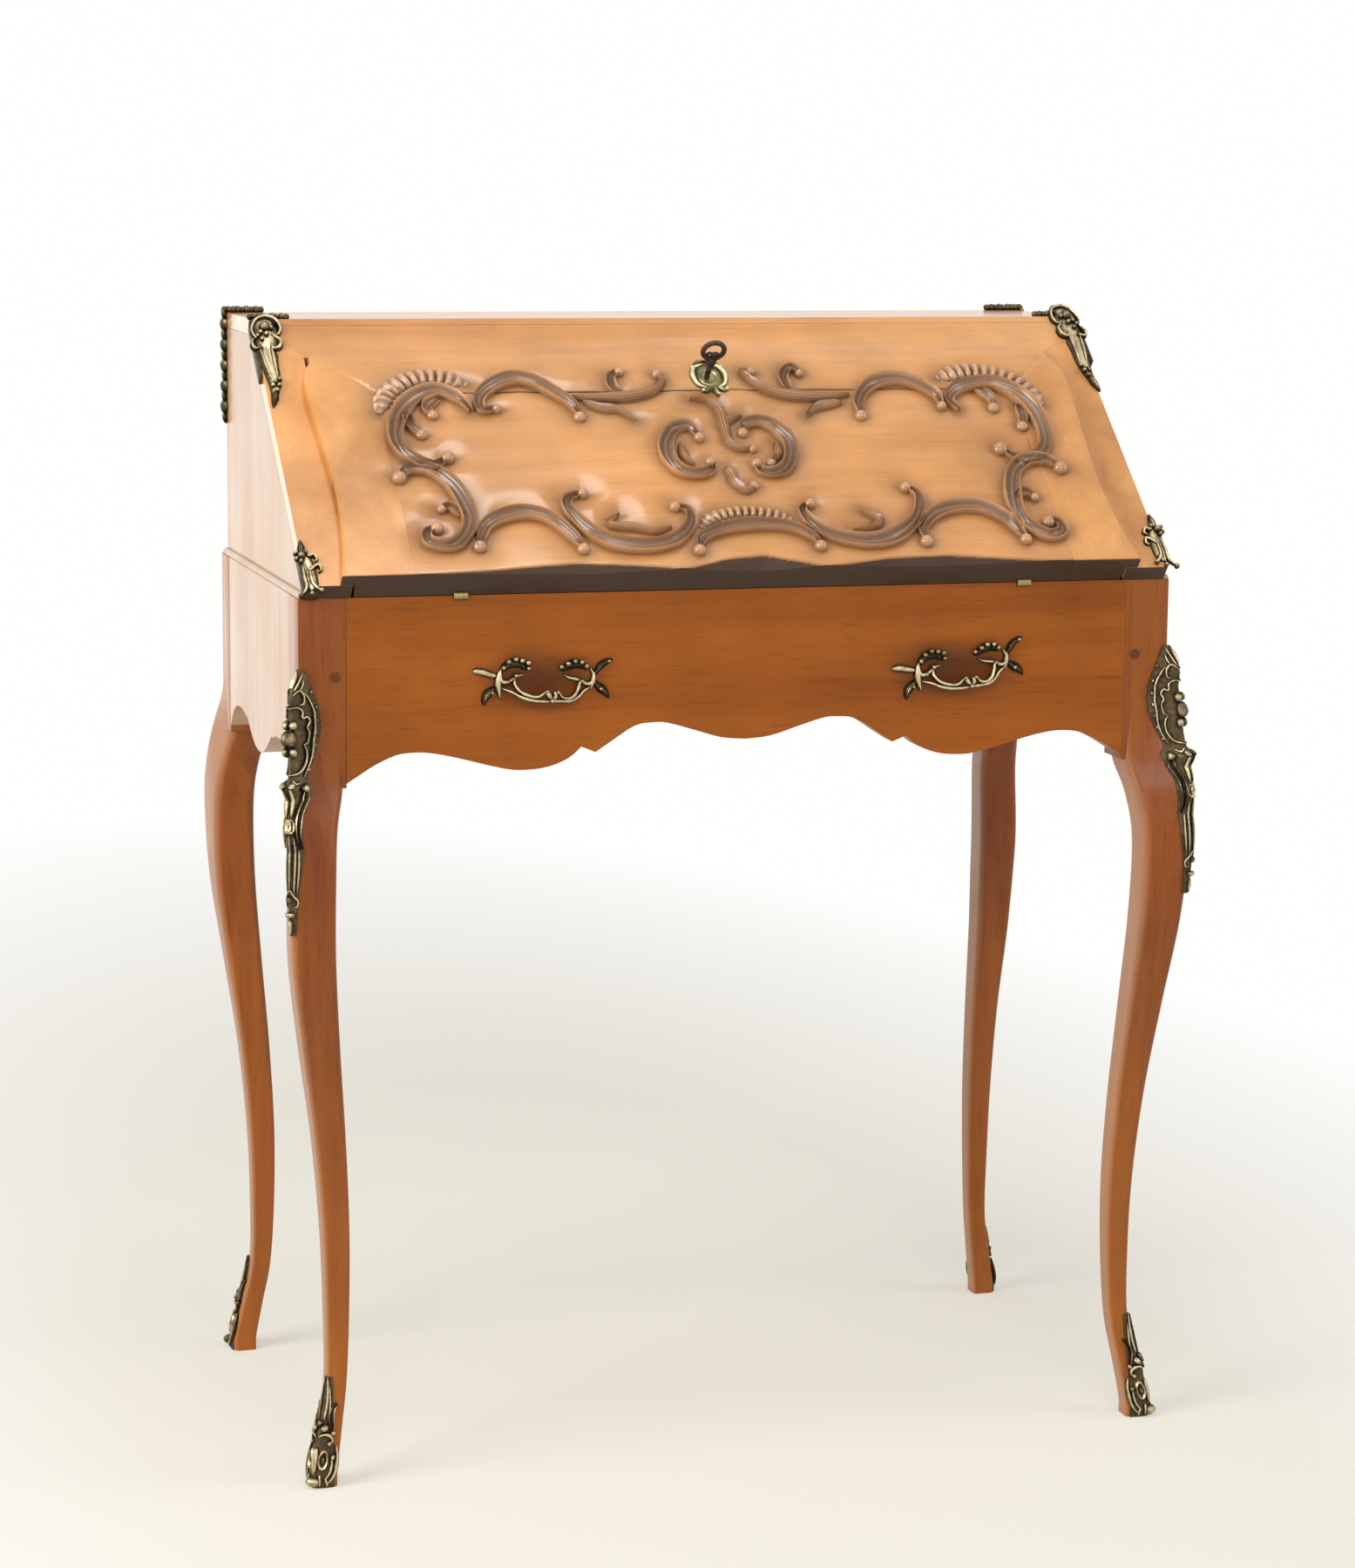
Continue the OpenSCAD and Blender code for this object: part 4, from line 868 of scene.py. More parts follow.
# The sides and the upper case's sides are a lighter copy of the veneer: painted window light
SIDE_PAINTED_LIGHT = Wood("side veneer painted light", "apron_wood", (152, 116, 84), (178, 142, 108), (194, 160, 126), Grain.Z, 24,
    gloss=0.25)
CASE_PAINTED_LIGHT = Wood("case wood painted light", "case_wood", (154, 118, 86), (180, 144, 110), (196, 162, 128), Grain.Z, 24,
    gloss=0.25)
PEG = Wood("peg wood", "leg_wood", (76, 38, 14), (98, 52, 22), (122, 68, 32), Grain.Y, 60, gloss=0.1)
# The lid boards' dark colour is painted shade on their lower end face, and makes them darker near the
# carving and on the worn arris
LID = Wood("lid wood", "lid_wood", (178, 112, 50), (200, 138, 76), (218, 158, 98), Grain.X, 20, gloss=0.6,
    roughness=0.3, dirt_and_shade=(38, 27, 23), worn=True, pores=0.3, cloud=0.45)
STILE = Wood("stile wood", "lid_wood", (180, 112, 48), (204, 140, 74), (222, 160, 94), Grain.Y, 20,
    gloss=0.6, roughness=0.3, dirt_and_shade=(38, 27, 23), worn=True, pores=0.3, cloud=0.45)
# The slope's stiles get painted shade on their lower end face
SLANT = replace(STILE, name="slant wood", worn=False, painted_shade_end=True)
RAIL = replace(LID, name="rail wood", worn=False)
# Carved wood: grey hollows of soiling and painted shade, light worn high parts
CARVED = Wood("carved wood", "lid_wood", (156, 106, 64), (190, 136, 88), (214, 160, 112), Grain.X, 40,
    gloss=0.8, roughness=0.26, age=0.9, dirt_and_shade=(94, 78, 64), worn=True)
INNER = Wood("inner wood", "inner_wood", (138, 92, 48), (176, 124, 70), (200, 150, 94), Grain.X, 40,
    gloss=0.05, roughness=0.55)
DRAWER = Wood("drawer wood", "inner_wood", (122, 70, 30), (160, 98, 48), (184, 120, 64), Grain.X, 40,
    gloss=0.15, roughness=0.45)
# Metals: a dark colour for the hollows, soiling and painted shade, a middle one, and a light one for the
# high parts, worn metal and painted highlight
BRONZE = Metal("gilt bronze", "bronze", (30, 24, 17), (92, 77, 54), (206, 190, 150), roughness=0.34,
    worn=True, stops=(0.32, 0.68, 0.98))
BRASS = Metal("brass", "brass", (96, 74, 36), (186, 154, 92), (226, 200, 140), roughness=0.3, reach=0.002)
OLD_BRASS = Metal("old brass", "brass", (40, 32, 20), (112, 94, 56), (168, 146, 96), roughness=0.4)
PALE_BRASS = Metal("pale brass", "brass", (58, 50, 30), (138, 128, 88), (222, 214, 172), roughness=0.34,
    worn=True)
IRON = Metal("forged iron", "iron", (20, 14, 11), (52, 38, 30), (104, 90, 80), roughness=0.42,
    metallic=0.6, worn=True)
LEATHER = Leather("green leather", "leather", (30, 44, 26), (54, 72, 42))


def dress(nodes: Nodes, name: str, finish: Finish, edge: float = 0.7) -> None:
    """Gives a CAD node its finish, and eases its edges.

    Args:
        nodes: The CAD nodes by name.
        name: The node.
        finish: Its finish.
        edge: Width of the easing in millimetres, or 0 for none.
    """
    obj = nodes[name]
    obj.data.materials.clear()
    obj.data.materials.append(finish.material())
    if edge:
        weld = obj.modifiers.new("weld", "WELD")
        weld.merge_threshold = ONE_POINT_M
        rounding = obj.modifiers.new("ease", "BEVEL")
        rounding.width = edge * MM
        rounding.segments = EASING
        rounding.limit_method = "ANGLE"
        rounding.angle_limit = math.radians(35)
        rounding.use_clamp_overlap = True
        flat = obj.modifiers.new("even normals", "WEIGHTED_NORMAL")
        flat.keep_sharp = True


@dataclass
class Legs:
    """The four cabriole legs, their pegs and their bronzes."""

    # Share of the knee's height, then how far the inner and outer faces lie outside the case's corner
    # in x and in y, and how far the inner corners fall back
    stations: tuple[tuple[float, ...], ...] = (
        (0.0, -26.2, -5.6, -0.5, 20.5, 0), (0.022, -26.6, -5.6, -0.8, 20.3, 0),
        (0.076, -32.0, -12.8, -6.6, 13.0, 0), (0.137, -38.0, -20.0, -14.2, 4.2, 0),
        (0.229, -41.0, -20.4, -19.4, 1.4, 0), (0.336, -41.4, -18.0, -21.4, 2.2, 0),
        (0.458, -37.7, -10.8, -20.0, 7.0, 0), (0.58, -31.9, 0.5, -17.4, 15.0, 0),
        (0.702, -27.2, 11.4, -12.0, 26.6, 3), (0.809, -27.2, 14.6, -7.5, 35.0, 9),
        (0.87, -30.5, 13.0, -20.0, 30.6, 14), (0.916, -37.5, 9.0, -35.0, 21.0, 18),
        (0.962, -37.5, 2.0, -36.0, 6.6, 6.5), (1.0, -37.5, -0.2, -36.0, -0.2, 0))
    steps: int = 6
    corner_steps: int = 7
    corner_round: float = 0.34
    tuck: float = 5.7
    tuck_wave: tuple[tuple[float, float], ...] = (
        (0, 0), (0.45, 0.61), (0.58, 0.79), (0.66, 1), (0.82, 1), (0.92, 0.5), (1, 0))
    post_foot: float = 601.0
    bronze_steps: int = 16
    tables: list[list[tuple[float, float]]] = field(default_factory=list)

    def line(self) -> list[tuple[float, ...]]:
        """The stations on their smooth curve."""
        return curve(self.stations, self.steps)

    def at(self, share: float) -> list[float]:
        """The five offsets at a share of the knee's height.

        Args:
            share: The share.

        Returns:
            The offsets, as in stations.
        """
        if not self.tables:
            rows = self.line()
            self.tables = [[(r[0], r[k]) for r in rows] for k in range(1, 6)]
        return [between(table, share) for table in self.tables]

    def ring(self, row: Sequence[float], tuck: float) -> Ring:
        """One ring of a leg with its corners rounded.

        Args:
            row: A row of stations.
            tuck: How far the leg is set in at its middle.

        Returns:
            The ring.
        """
        share, x_in, x_out, y_in, y_out, fall = row
        tucked = tuck * between(self.tuck_wave, share)
        x0, x1 = DESK.half_w + x_in - tucked, DESK.half_w + x_out - tucked
        y0, y1 = DESK.half_d + y_in, DESK.half_d + y_out
        out = []
        for k in range(4):
            cx = 1 if k in (0, 3) else -1
            cy = 1 if k < 2 else -1
            for j in range(self.corner_steps + 1):
                a = math.radians(90 * k + 90 * j / self.corner_steps)
                u = ((1 - self.corner_round) * cx + self.corner_round * math.cos(a) + 1) / 2
                v = ((1 - self.corner_round) * cy + self.corner_round * math.sin(a) + 1) / 2
                x = (1 - v) * (x0 + (x1 - 0.6 * fall - x0) * u) + v * (x0 + (x1 - x0) * u)
                y = (1 - u) * (y0 + (y1 - fall - y0) * v) + u * (y0 + (y1 - y0) * v)
                out.append(Vector((x, y, share * DESK.knee_z)))
        return out

    def leg(self, name: str, sx: int, sy: int) -> None:
        """Makes one leg with its post.

        Args:
            name: Its CAD node.
            sx: 1 on the right and -1 on the left.
            sy: 1 at the back and -1 at the front.
        """
        tuck = self.tuck if sx > 0 and sy > 0 else 0.0
        form = Form(DESK.plain() @ Matrix.Diagonal((sx, sy, 1, 1)))
        turns = [math.radians(90 * (k + j / self.corner_steps)) for k in range(4)
                 for j in range(self.corner_steps + 1)]
        # Faces that look to the left are marked for painted window light
        form.loft([self.ring(row, tuck) for row in self.line()],
                  wear_and_light=[max(0.0, -sx * math.cos(a)) ** 1.5 for a in turns])
        side, front = DESK.half_w - DESK.post_w, DESK.half_d - DESK.post_w
        held = len(form.bm.verts)
        form.block((side, front, self.post_foot), (DESK.half_w, DESK.half_d, DESK.writing_h), 0.8)
        # The post's face that looks to the left is marked for painted window light
        form.rub(lambda co: float(sx < 0 and co.x > DESK.half_w - 0.1), form.newest(held))
        form.piece(name, "case", LEG, [name])

    def bronze_ring(self, z: float, reach: float, edge: float, corner: float, tuck: float) -> Ring:
        """One row of bronze wrapped round the leg's outer corner.

        Args:
            z: Its height.
            reach: How far it goes along each face.
            edge: How far its edges stand off.
            corner: How far it stands off at the corner.
            tuck: How far the leg is set in at its middle.

        Returns:
            The row.
        """
        steps = self.bronze_steps
        share = min(z / DESK.knee_z, 1.0)
        x_in, x_out, y_in, y_out, fall = self.at(share)
        if z > DESK.knee_z:
            x_out, y_out, fall = 0.0, 0.0, 0.0
        x1 = DESK.half_w + x_out - tuck * between(self.tuck_wave, share)
        y1 = DESK.half_d + y_out
        p = Vector((x1 - reach, y1 + edge - reach * fall / (x_out - x_in)))
        c = Vector((x1 + corner, y1 + corner))
        q = Vector((x1 + edge - 0.6 * reach * fall / (y_out - y_in), y1 - reach))
        out = []
        for i in range(steps + 1):
            t = i / steps
            a, b, d = (1 - t) ** 2, 4 * t * (1 - t), t * t
            v = (a * q + b * c + d * p) / (a + b + d)
            out.append(Vector((v.x, v.y, z)))
        deep = 0.7 * reach
        return out + [Vector((x1 - a, y1 - b, z)) for a, b in ((reach, deep), (deep, deep), (deep, reach))]

    def build(self, nodes: Nodes) -> None:
        """Makes the legs and their bronzes, and dresses the pegs.

        Args:
            nodes: The CAD nodes by name.
        """
        for front, sy in (("front", -1), ("back", 1)):
            for side, sx in (("left", -1), ("right", 1)):
                self.leg(f"{front}_{side}_leg", sx, sy)
        dress(nodes, "draw_pegs", PEG, 0.3)
        front, back = [(-1, -1, 0.0), (1, -1, 0.0)], [(-1, 1, 0.0), (1, 1, self.tuck)]
        knee_mount(self).make("knee_bronzes", front, "knee_mounts")
        shoe(self).make("shoe_bronzes", front + back, "sabots")


def taper(widths: Sequence[float], middle: float, tip: float, speed: float) -> Callable[[float], float]:
    """Half width at a share of a band's length.

    Args:
        widths: Half widths at its start, middle and end.
        middle: Share of its length where the middle one lies.
        tip: Share of the width that is left at both tips.
        speed: How quickly the tips widen.

    Returns:
        The function.
    """
    table = list(zip((0.0, middle, 1.0), widths))
    return lambda t: between(table, t) * (tip + (1 - tip) * min(1, t * speed, (1 - t) * speed))


def arch(height: float, least: float = 0.0) -> Callable[[float], float]:
    """Height at a share of a band's length, highest in its middle."""
    return lambda t: least + height * (0.6 + 0.4 * math.sin(math.pi * t))


@dataclass(frozen=True)
class Stroke:
    """A ridge of a casting: its line, half widths at its start, middle and end, height and section."""

    line: tuple[tuple[float, ...], ...]
    widths: tuple[float, float, float]
    height: float
    section: Section = Section.ROUND
    sink: float = 0.8
    rub: float = 3.2

    def draw(self, form: Form, spacing: float = 1.3) -> None:
        """Adds the ridge to a form."""
        form.band(self.line, taper(self.widths, 0.5, 0.4, 8), arch(self.height), self.section, spacing,
                  self.sink, self.rub)


@dataclass(frozen=True)
class Casting:
    """A small casting laid out flat: its ridges, and its knobs as right, up, bed and three half sizes."""

    strokes: tuple[Stroke, ...]
    knobs: tuple[tuple[float, float, float, float, float, float], ...] = ()
    wider: float = 1.0

    def lay(self, form: Form) -> None:
        """Adds the casting to a form.

        Args:
            form: The form, in the casting's own axes.
        """
        for stroke in self.strokes:
            replace(stroke, widths=tuple(w * self.wider for w in stroke.widths)).draw(form, 1.2)
        for u, v, bed, w, h, lift in self.knobs:
            form.ball((u, v, bed + lift * 0.3), (w, h, lift), around=10)


def beads(form: Form, start: Point, end: Point, radii: Point, count: int) -> None:
    """Adds a row of overlapping beads from start to end.

    Args:
        form: The form.
        start: Centre of the first bead.
        end: Centre of the last bead.
        radii: Half sizes of a bead.
        count: How many there are.
    """
    rng = random.Random(count)
    for i in range(count):
        at = Vector(start).lerp(Vector(end), i / (count - 1))
        swell = 0.86 + 0.14 * rng.random() + 0.12 * (i % 2)
        form.ball(at, [r * swell for r in radii], Euler((0.3, 0.2, 0.35 * (-1) ** i)), around=12)


@dataclass
class CornerBronze:
    """A bronze that wraps the outer corner of a leg.

    Rows give a height, the reach along each face, and the stand-off at the edge and at the corner.
    Strokes and knobs are laid out flat, as the way round from the corner and the height, and both
    halves are alike.
    """

    legs: Legs
    rows: tuple[tuple[float, float, float, float], ...]
    strokes: tuple[Stroke, ...]
    knobs: tuple[tuple[float, float, float, float, float], ...]
    rings: tuple[tuple[float, float, float, float], ...] = ()
    tuck: float = 0.0
    spacing: float = 2.0
    scallop: float = 0.0
    found: dict[tuple[float, float], tuple[Ring, list[float]]] = field(default_factory=dict)

    def row(self, z: float) -> tuple[float, float, float]:
        """Reach, edge and corner at a height."""
        return tuple(between([(r[0], r[k]) for r in self.rows], z) for k in (1, 2, 3))

    def body(self) -> Form:
        """Makes the shell under the ornament.

        Returns:
            The shell.
        """
        low, high = self.rows[0][0], self.rows[-1][0]
        count = round((high - low) / self.spacing)
        out: list[Ring] = []
        for i in range(count + 1):
            z = low + (high - low) * i / count
            reach, edge, corner = self.row(z)
            reach *= 1 + self.scallop * (abs(math.sin(z * 0.55)) - 0.5)
            out.append(self.legs.bronze_ring(z, reach, edge, corner, self.tuck))
        form = Form(Matrix.Identity(4))
        form.loft(out, wear_and_light=0.36)
        return form

    def wrap(self, at: Vector) -> Vector:
        """Bends a flat point (way round, height, lift) onto the shell's outside.

        Args:
            at: The flat point.

        Returns:
            The bent one.
        """
        z = at.y
        key = (round(z, 1), self.tuck)
        if key not in self.found:
            reach, edge, corner = self.row(key[0])
            line = self.legs.bronze_ring(key[0], reach, edge, corner, self.tuck)
            line = line[:self.legs.bronze_steps + 1]
            ways = [0.0]
            for a, b in zip(line, line[1:]):
                ways.append(ways[-1] + (b - a).length)
            self.found[key] = (line, ways)
        line, ways = self.found[key]
        goal = at.x + ways[-1] / 2
        k = 0
        while k < len(line) - 2 and ways[k + 1] < goal:
            k += 1
        a, b = line[k], line[k + 1]
        t = (goal - ways[k]) / max(ways[k + 1] - ways[k], 1e-6)
        run = (b - a).normalized()
        out = Vector((run.y, -run.x, 0))
        found = a.lerp(b, max(-1.5, min(t, 2.5)))
        return Vector((found.x, found.y, z)) + out * at.z

    def ornament(self) -> Form:
        """Makes the ridges and knobs of both halves, wrapped round the corner.

        Returns:
            The ornament.
        """
        form = Form(Matrix.Identity(4))
        for side in (-1, 1):
            for stroke in self.strokes:
                line = tuple((side * p[0], p[1]) for p in stroke.line)
                replace(stroke, line=line).draw(form)
            for u, z, w, h, lift in self.knobs:
                form.ball((side * u, z, lift * 0.3), (w, h, lift), around=12)
            for u, z, w, h in self.rings:
                form.oval((side * u, z), (w, h), 1.5, 2.2)
        form.warp(self.wrap)
        return form

    def make(self, name: str, corners: Iterable[tuple[int, int, float]], node: str) -> None:
        """Makes the bronze on each of some corners.

        Args:
            name: The object's name.
            corners: Side, front or back, and the tuck of the leg there.
            node: The CAD node that all of them stand for.
        """
        whole = Form(DESK.plain())
        for sx, sy, tuck in corners:
            self.tuck = tuck
            for form in (self.body(), self.ornament()):
                bmesh.ops.scale(form.bm, vec=(sx, sy, 1), verts=form.bm.verts)
                if sx * sy < 0:
                    bmesh.ops.reverse_faces(form.bm, faces=form.bm.faces)
                whole.take(form.bm)
        whole.piece(name, "case", BRONZE, [node], 50)


def knee_mount(legs: Legs) -> CornerBronze:
    """The knee mounts: a scalloped shield with a bud, a waist with bosses and a long fluted leaf.

    Args:
        legs: The legs they sit on.

    Returns:
        The bronze.
    """
    rows = (
        (484, 4.5, 1.2, 1.6), (495, 5.5, 1.4, 2.2), (515, 7.0, 1.4, 2.4), (530, 9.3, 1.4, 2.8),
        (555, 12.5, 1.4, 2.8), (570, 10.0, 1.6, 5.9), (585, 10.5, 1.6, 7.4), (597, 15.0, 1.6, 8.9),
        (606, 17.0, 1.6, 18.7), (615, 10.5, 1.6, 12.8), (630, 14.0, 1.6, 16.7), (644, 17.5, 1.6, 19.7),
        (655, 18.4, 1.6, 18.2), (667, 17.0, 1.6, 16.2), (678, 13.5, 1.6, 16.7), (686, 10.0, 1.6, 14.3),
        (694, 7.0, 1.6, 8.9), (702, 4.5, 1.4, 2.5))
    gold = (
        Stroke(((11, 684), (16, 680), (20, 672), (22, 662), (23, 650), (22.5, 640), (21, 630), (18, 622),
            (14, 615)), (1.0, 1.7, 1.0), 2.6),
        Stroke(((0, 671), (5, 672), (9.5, 669), (10, 663), (14, 664), (17, 660), (15, 655), (17.5, 650),
            (17, 643), (13, 641)), (0.9, 1.3, 1.0), 3.0),
        Stroke(((13, 641), (15.5, 635), (14.5, 626), (9, 619), (0, 617)), (1.0, 1.3, 1.0), 3.0),
        Stroke(((2, 682), (7, 686), (12, 681), (12, 675), (8, 674)), (0.8, 1.3, 0.9), 2.6),
        Stroke(((0.5, 688), (0.5, 696), (0, 702)), (1.2, 1.6, 0.8), 2.4),
        Stroke(((3, 686), (4.5, 694), (5, 700)), (1.1, 1.5, 0.7), 2.0),
        Stroke(((7, 684), (9, 689), (8.5, 694)), (1.0, 1.3, 0.6), 1.8),
        Stroke(((18, 604), (16, 600), (12, 594), (8.5, 586), (7, 576), (7.5, 566), (10, 557)),
            (3.0, 3.0, 1.2), 4.2, Section.HOLLOW),
        Stroke(((3, 607), (2, 596), (1.5, 584)), (1.8, 2.0, 1.0), 2.8),
        Stroke(((0, 569), (0, 545), (0, 520)), (1.2, 1.5, 0.7), 2.0),
        Stroke(((3.5, 567), (3.8, 545), (3, 519)), (1.0, 1.3, 0.6), 1.8),
        Stroke(((7, 556), (7.2, 540), (6, 521)), (1.0, 1.3, 0.6), 1.6),
        Stroke(((0, 524), (3, 518), (6.5, 514), (6, 509), (3, 509)), (0.8, 1.2, 0.8), 1.8),
        Stroke(((0, 497), (0.5, 491), (0, 485)), (1.8, 1.9, 0.8), 1.8),
        Stroke(((3, 613), (8, 610), (13, 612)), (0.8, 1.1, 0.8), 2.4))
    knobs = (
        (3.0, 657, 2.8, 4.2, 4.2), (2.0, 646, 3.4, 7.0, 4.6), (3.0, 635, 2.8, 4.4, 4.0),
        (18.5, 606, 4.2, 4.0, 4.6), (3.2, 609, 3.0, 3.0, 3.8), (1.2, 502, 2.4, 2.4, 2.8),
        (0, 515, 2.0, 3.0, 2.2), (19.5, 684, 1.6, 2.0, 1.6), (23.5, 671, 1.5, 1.9, 1.8),
        (24.6, 660, 1.5, 1.9, 1.8), (24.8, 650, 1.5, 1.9, 1.8), (24.4, 640, 1.5, 1.9, 1.8),
        (22.6, 630, 1.5, 1.9, 1.6), (19.0, 620, 1.5, 1.9, 1.6))
    return CornerBronze(legs, rows, gold, knobs, ((1.5, 576, 2.6, 5.0),), scallop=0.10)


def shoe(legs: Legs) -> CornerBronze:
    """The shoes: a fluted leaf over a knot, C-scrolls with an oval, and a shell round the toe.

    Args:
        legs: The legs they sit on.

    Returns:
        The bronze.
    """
    rows = (
        (0, 17.4, 1.8, 4.0), (6, 17.4, 1.8, 5.4), (14, 17.0, 1.8, 4.0), (30, 15.0, 1.6, 4.2),
        (40, 12.0, 1.5, 4.6), (46, 10.9, 1.5, 5.4), (52, 10.0, 1.4, 3.6), (62, 8.1, 1.4, 3.2),
        (76, 6.5, 1.4, 2.8), (92, 4.5, 1.2, 1.6))
    lines = (
        Stroke(((2.5, 58), (2.8, 70), (2.0, 84), (1.0, 92)), (1.2, 1.5, 0.8), 2.0),
        Stroke(((6.5, 56), (6.0, 66), (4.5, 76), (3.5, 84)), (1.1, 1.4, 0.7), 1.8),
        Stroke(((12.5, 70), (9, 67), (8, 60), (10, 52), (12, 47)), (1.4, 2.4, 1.3), 2.8, Section.HOLLOW),
        Stroke(((1, 44), (5, 46), (10, 44), (12.5, 40), (10, 37)), (1.2, 1.9, 1.2), 3.0),
        Stroke(((16, 36), (18.5, 27), (18.6, 17), (16.5, 9), (12, 4)), (1.0, 2.2, 1.0), 2.6),
        Stroke(((13, 27), (14.5, 20), (13, 12), (9.5, 8)), (0.9, 1.6, 0.8), 2.0),
        Stroke(((0.5, 34), (1, 24), (0.5, 13)), (1.4, 1.8, 1.2), 2.6),
        Stroke(((5, 12), (5.5, 7), (5, 2)), (1.2, 1.6, 0.9), 2.2),
        Stroke(((10, 9), (11.5, 5), (11, 1.5)), (1.1, 1.5, 0.9), 1.8))
    knobs = (
        (4, 51, 3.2, 3.4, 3.4), (0, 55, 2.0, 3.0, 2.8), (12.6, 46, 2.4, 2.4, 2.8),
        (14.5, 26, 2.2, 2.6, 2.4), (1.5, 6, 4.0, 4.4, 4.2), (10, 37.5, 2.2, 2.2, 2.4),
        (6.2, 24, 1.8, 3.4, 1.8))
    return CornerBronze(legs, rows, lines, knobs, ((6.4, 24, 3.6, 7.2),))


@dataclass
class Case:
    """The wooden case, its slanted frame and its inside."""

    # Width of the eased edges, the finish and the pieces
    pieces: tuple[tuple[float, Finish, tuple[str, ...]], ...] = (
        (0.8, APRON, ("front_apron",)),
        (0.8, SIDE_PAINTED_LIGHT, ("left_side_panel", "right_side_panel")),
        (0.8, BACK, ("back_board", "back_panel")),
        (0.8, CASE_PAINTED_LIGHT, ("left_case_side", "right_case_side", "side_mouldings")),
        (0.8, RAIL, ("top_board",)),
        (0.5, RAIL, ("slant_rail",)),
        (0.5, SLANT, ("left_slant_stile", "right_slant_stile")),
        (0.3, INNER, ("case_bottom", "writing_boards", "writing_rail", "well_walls", "gallery_floor",
            "gallery_cheeks", "gallery_shelves", "drawer_dividers", "pigeonhole_dividers")),
        (0.3, DRAWER, ("well_cover", "drawer_1", "drawer_2", "drawer_3", "drawer_4")),
        (0.3, LEATHER, ("writing_leather",)),
        (0.3, OLD_BRASS, ("case_hinges", "lid_hinges")),
        (0.3, BRASS, ("knob_1", "knob_2", "knob_3", "knob_4", "lock_case", "lock_bolt", "strike_plate",
            "stay_posts", "stay_brackets", "left_stay_arm", "right_stay_arm", "left_stay_link",
            "right_stay_link")))

    def build(self, nodes: Nodes) -> None:
        """Dresses the boards and the fittings.

        Args:
            nodes: The CAD nodes by name.
        """
        for edge, finish, names in self.pieces:
            for name in names:
                dress(nodes, name, finish, edge)


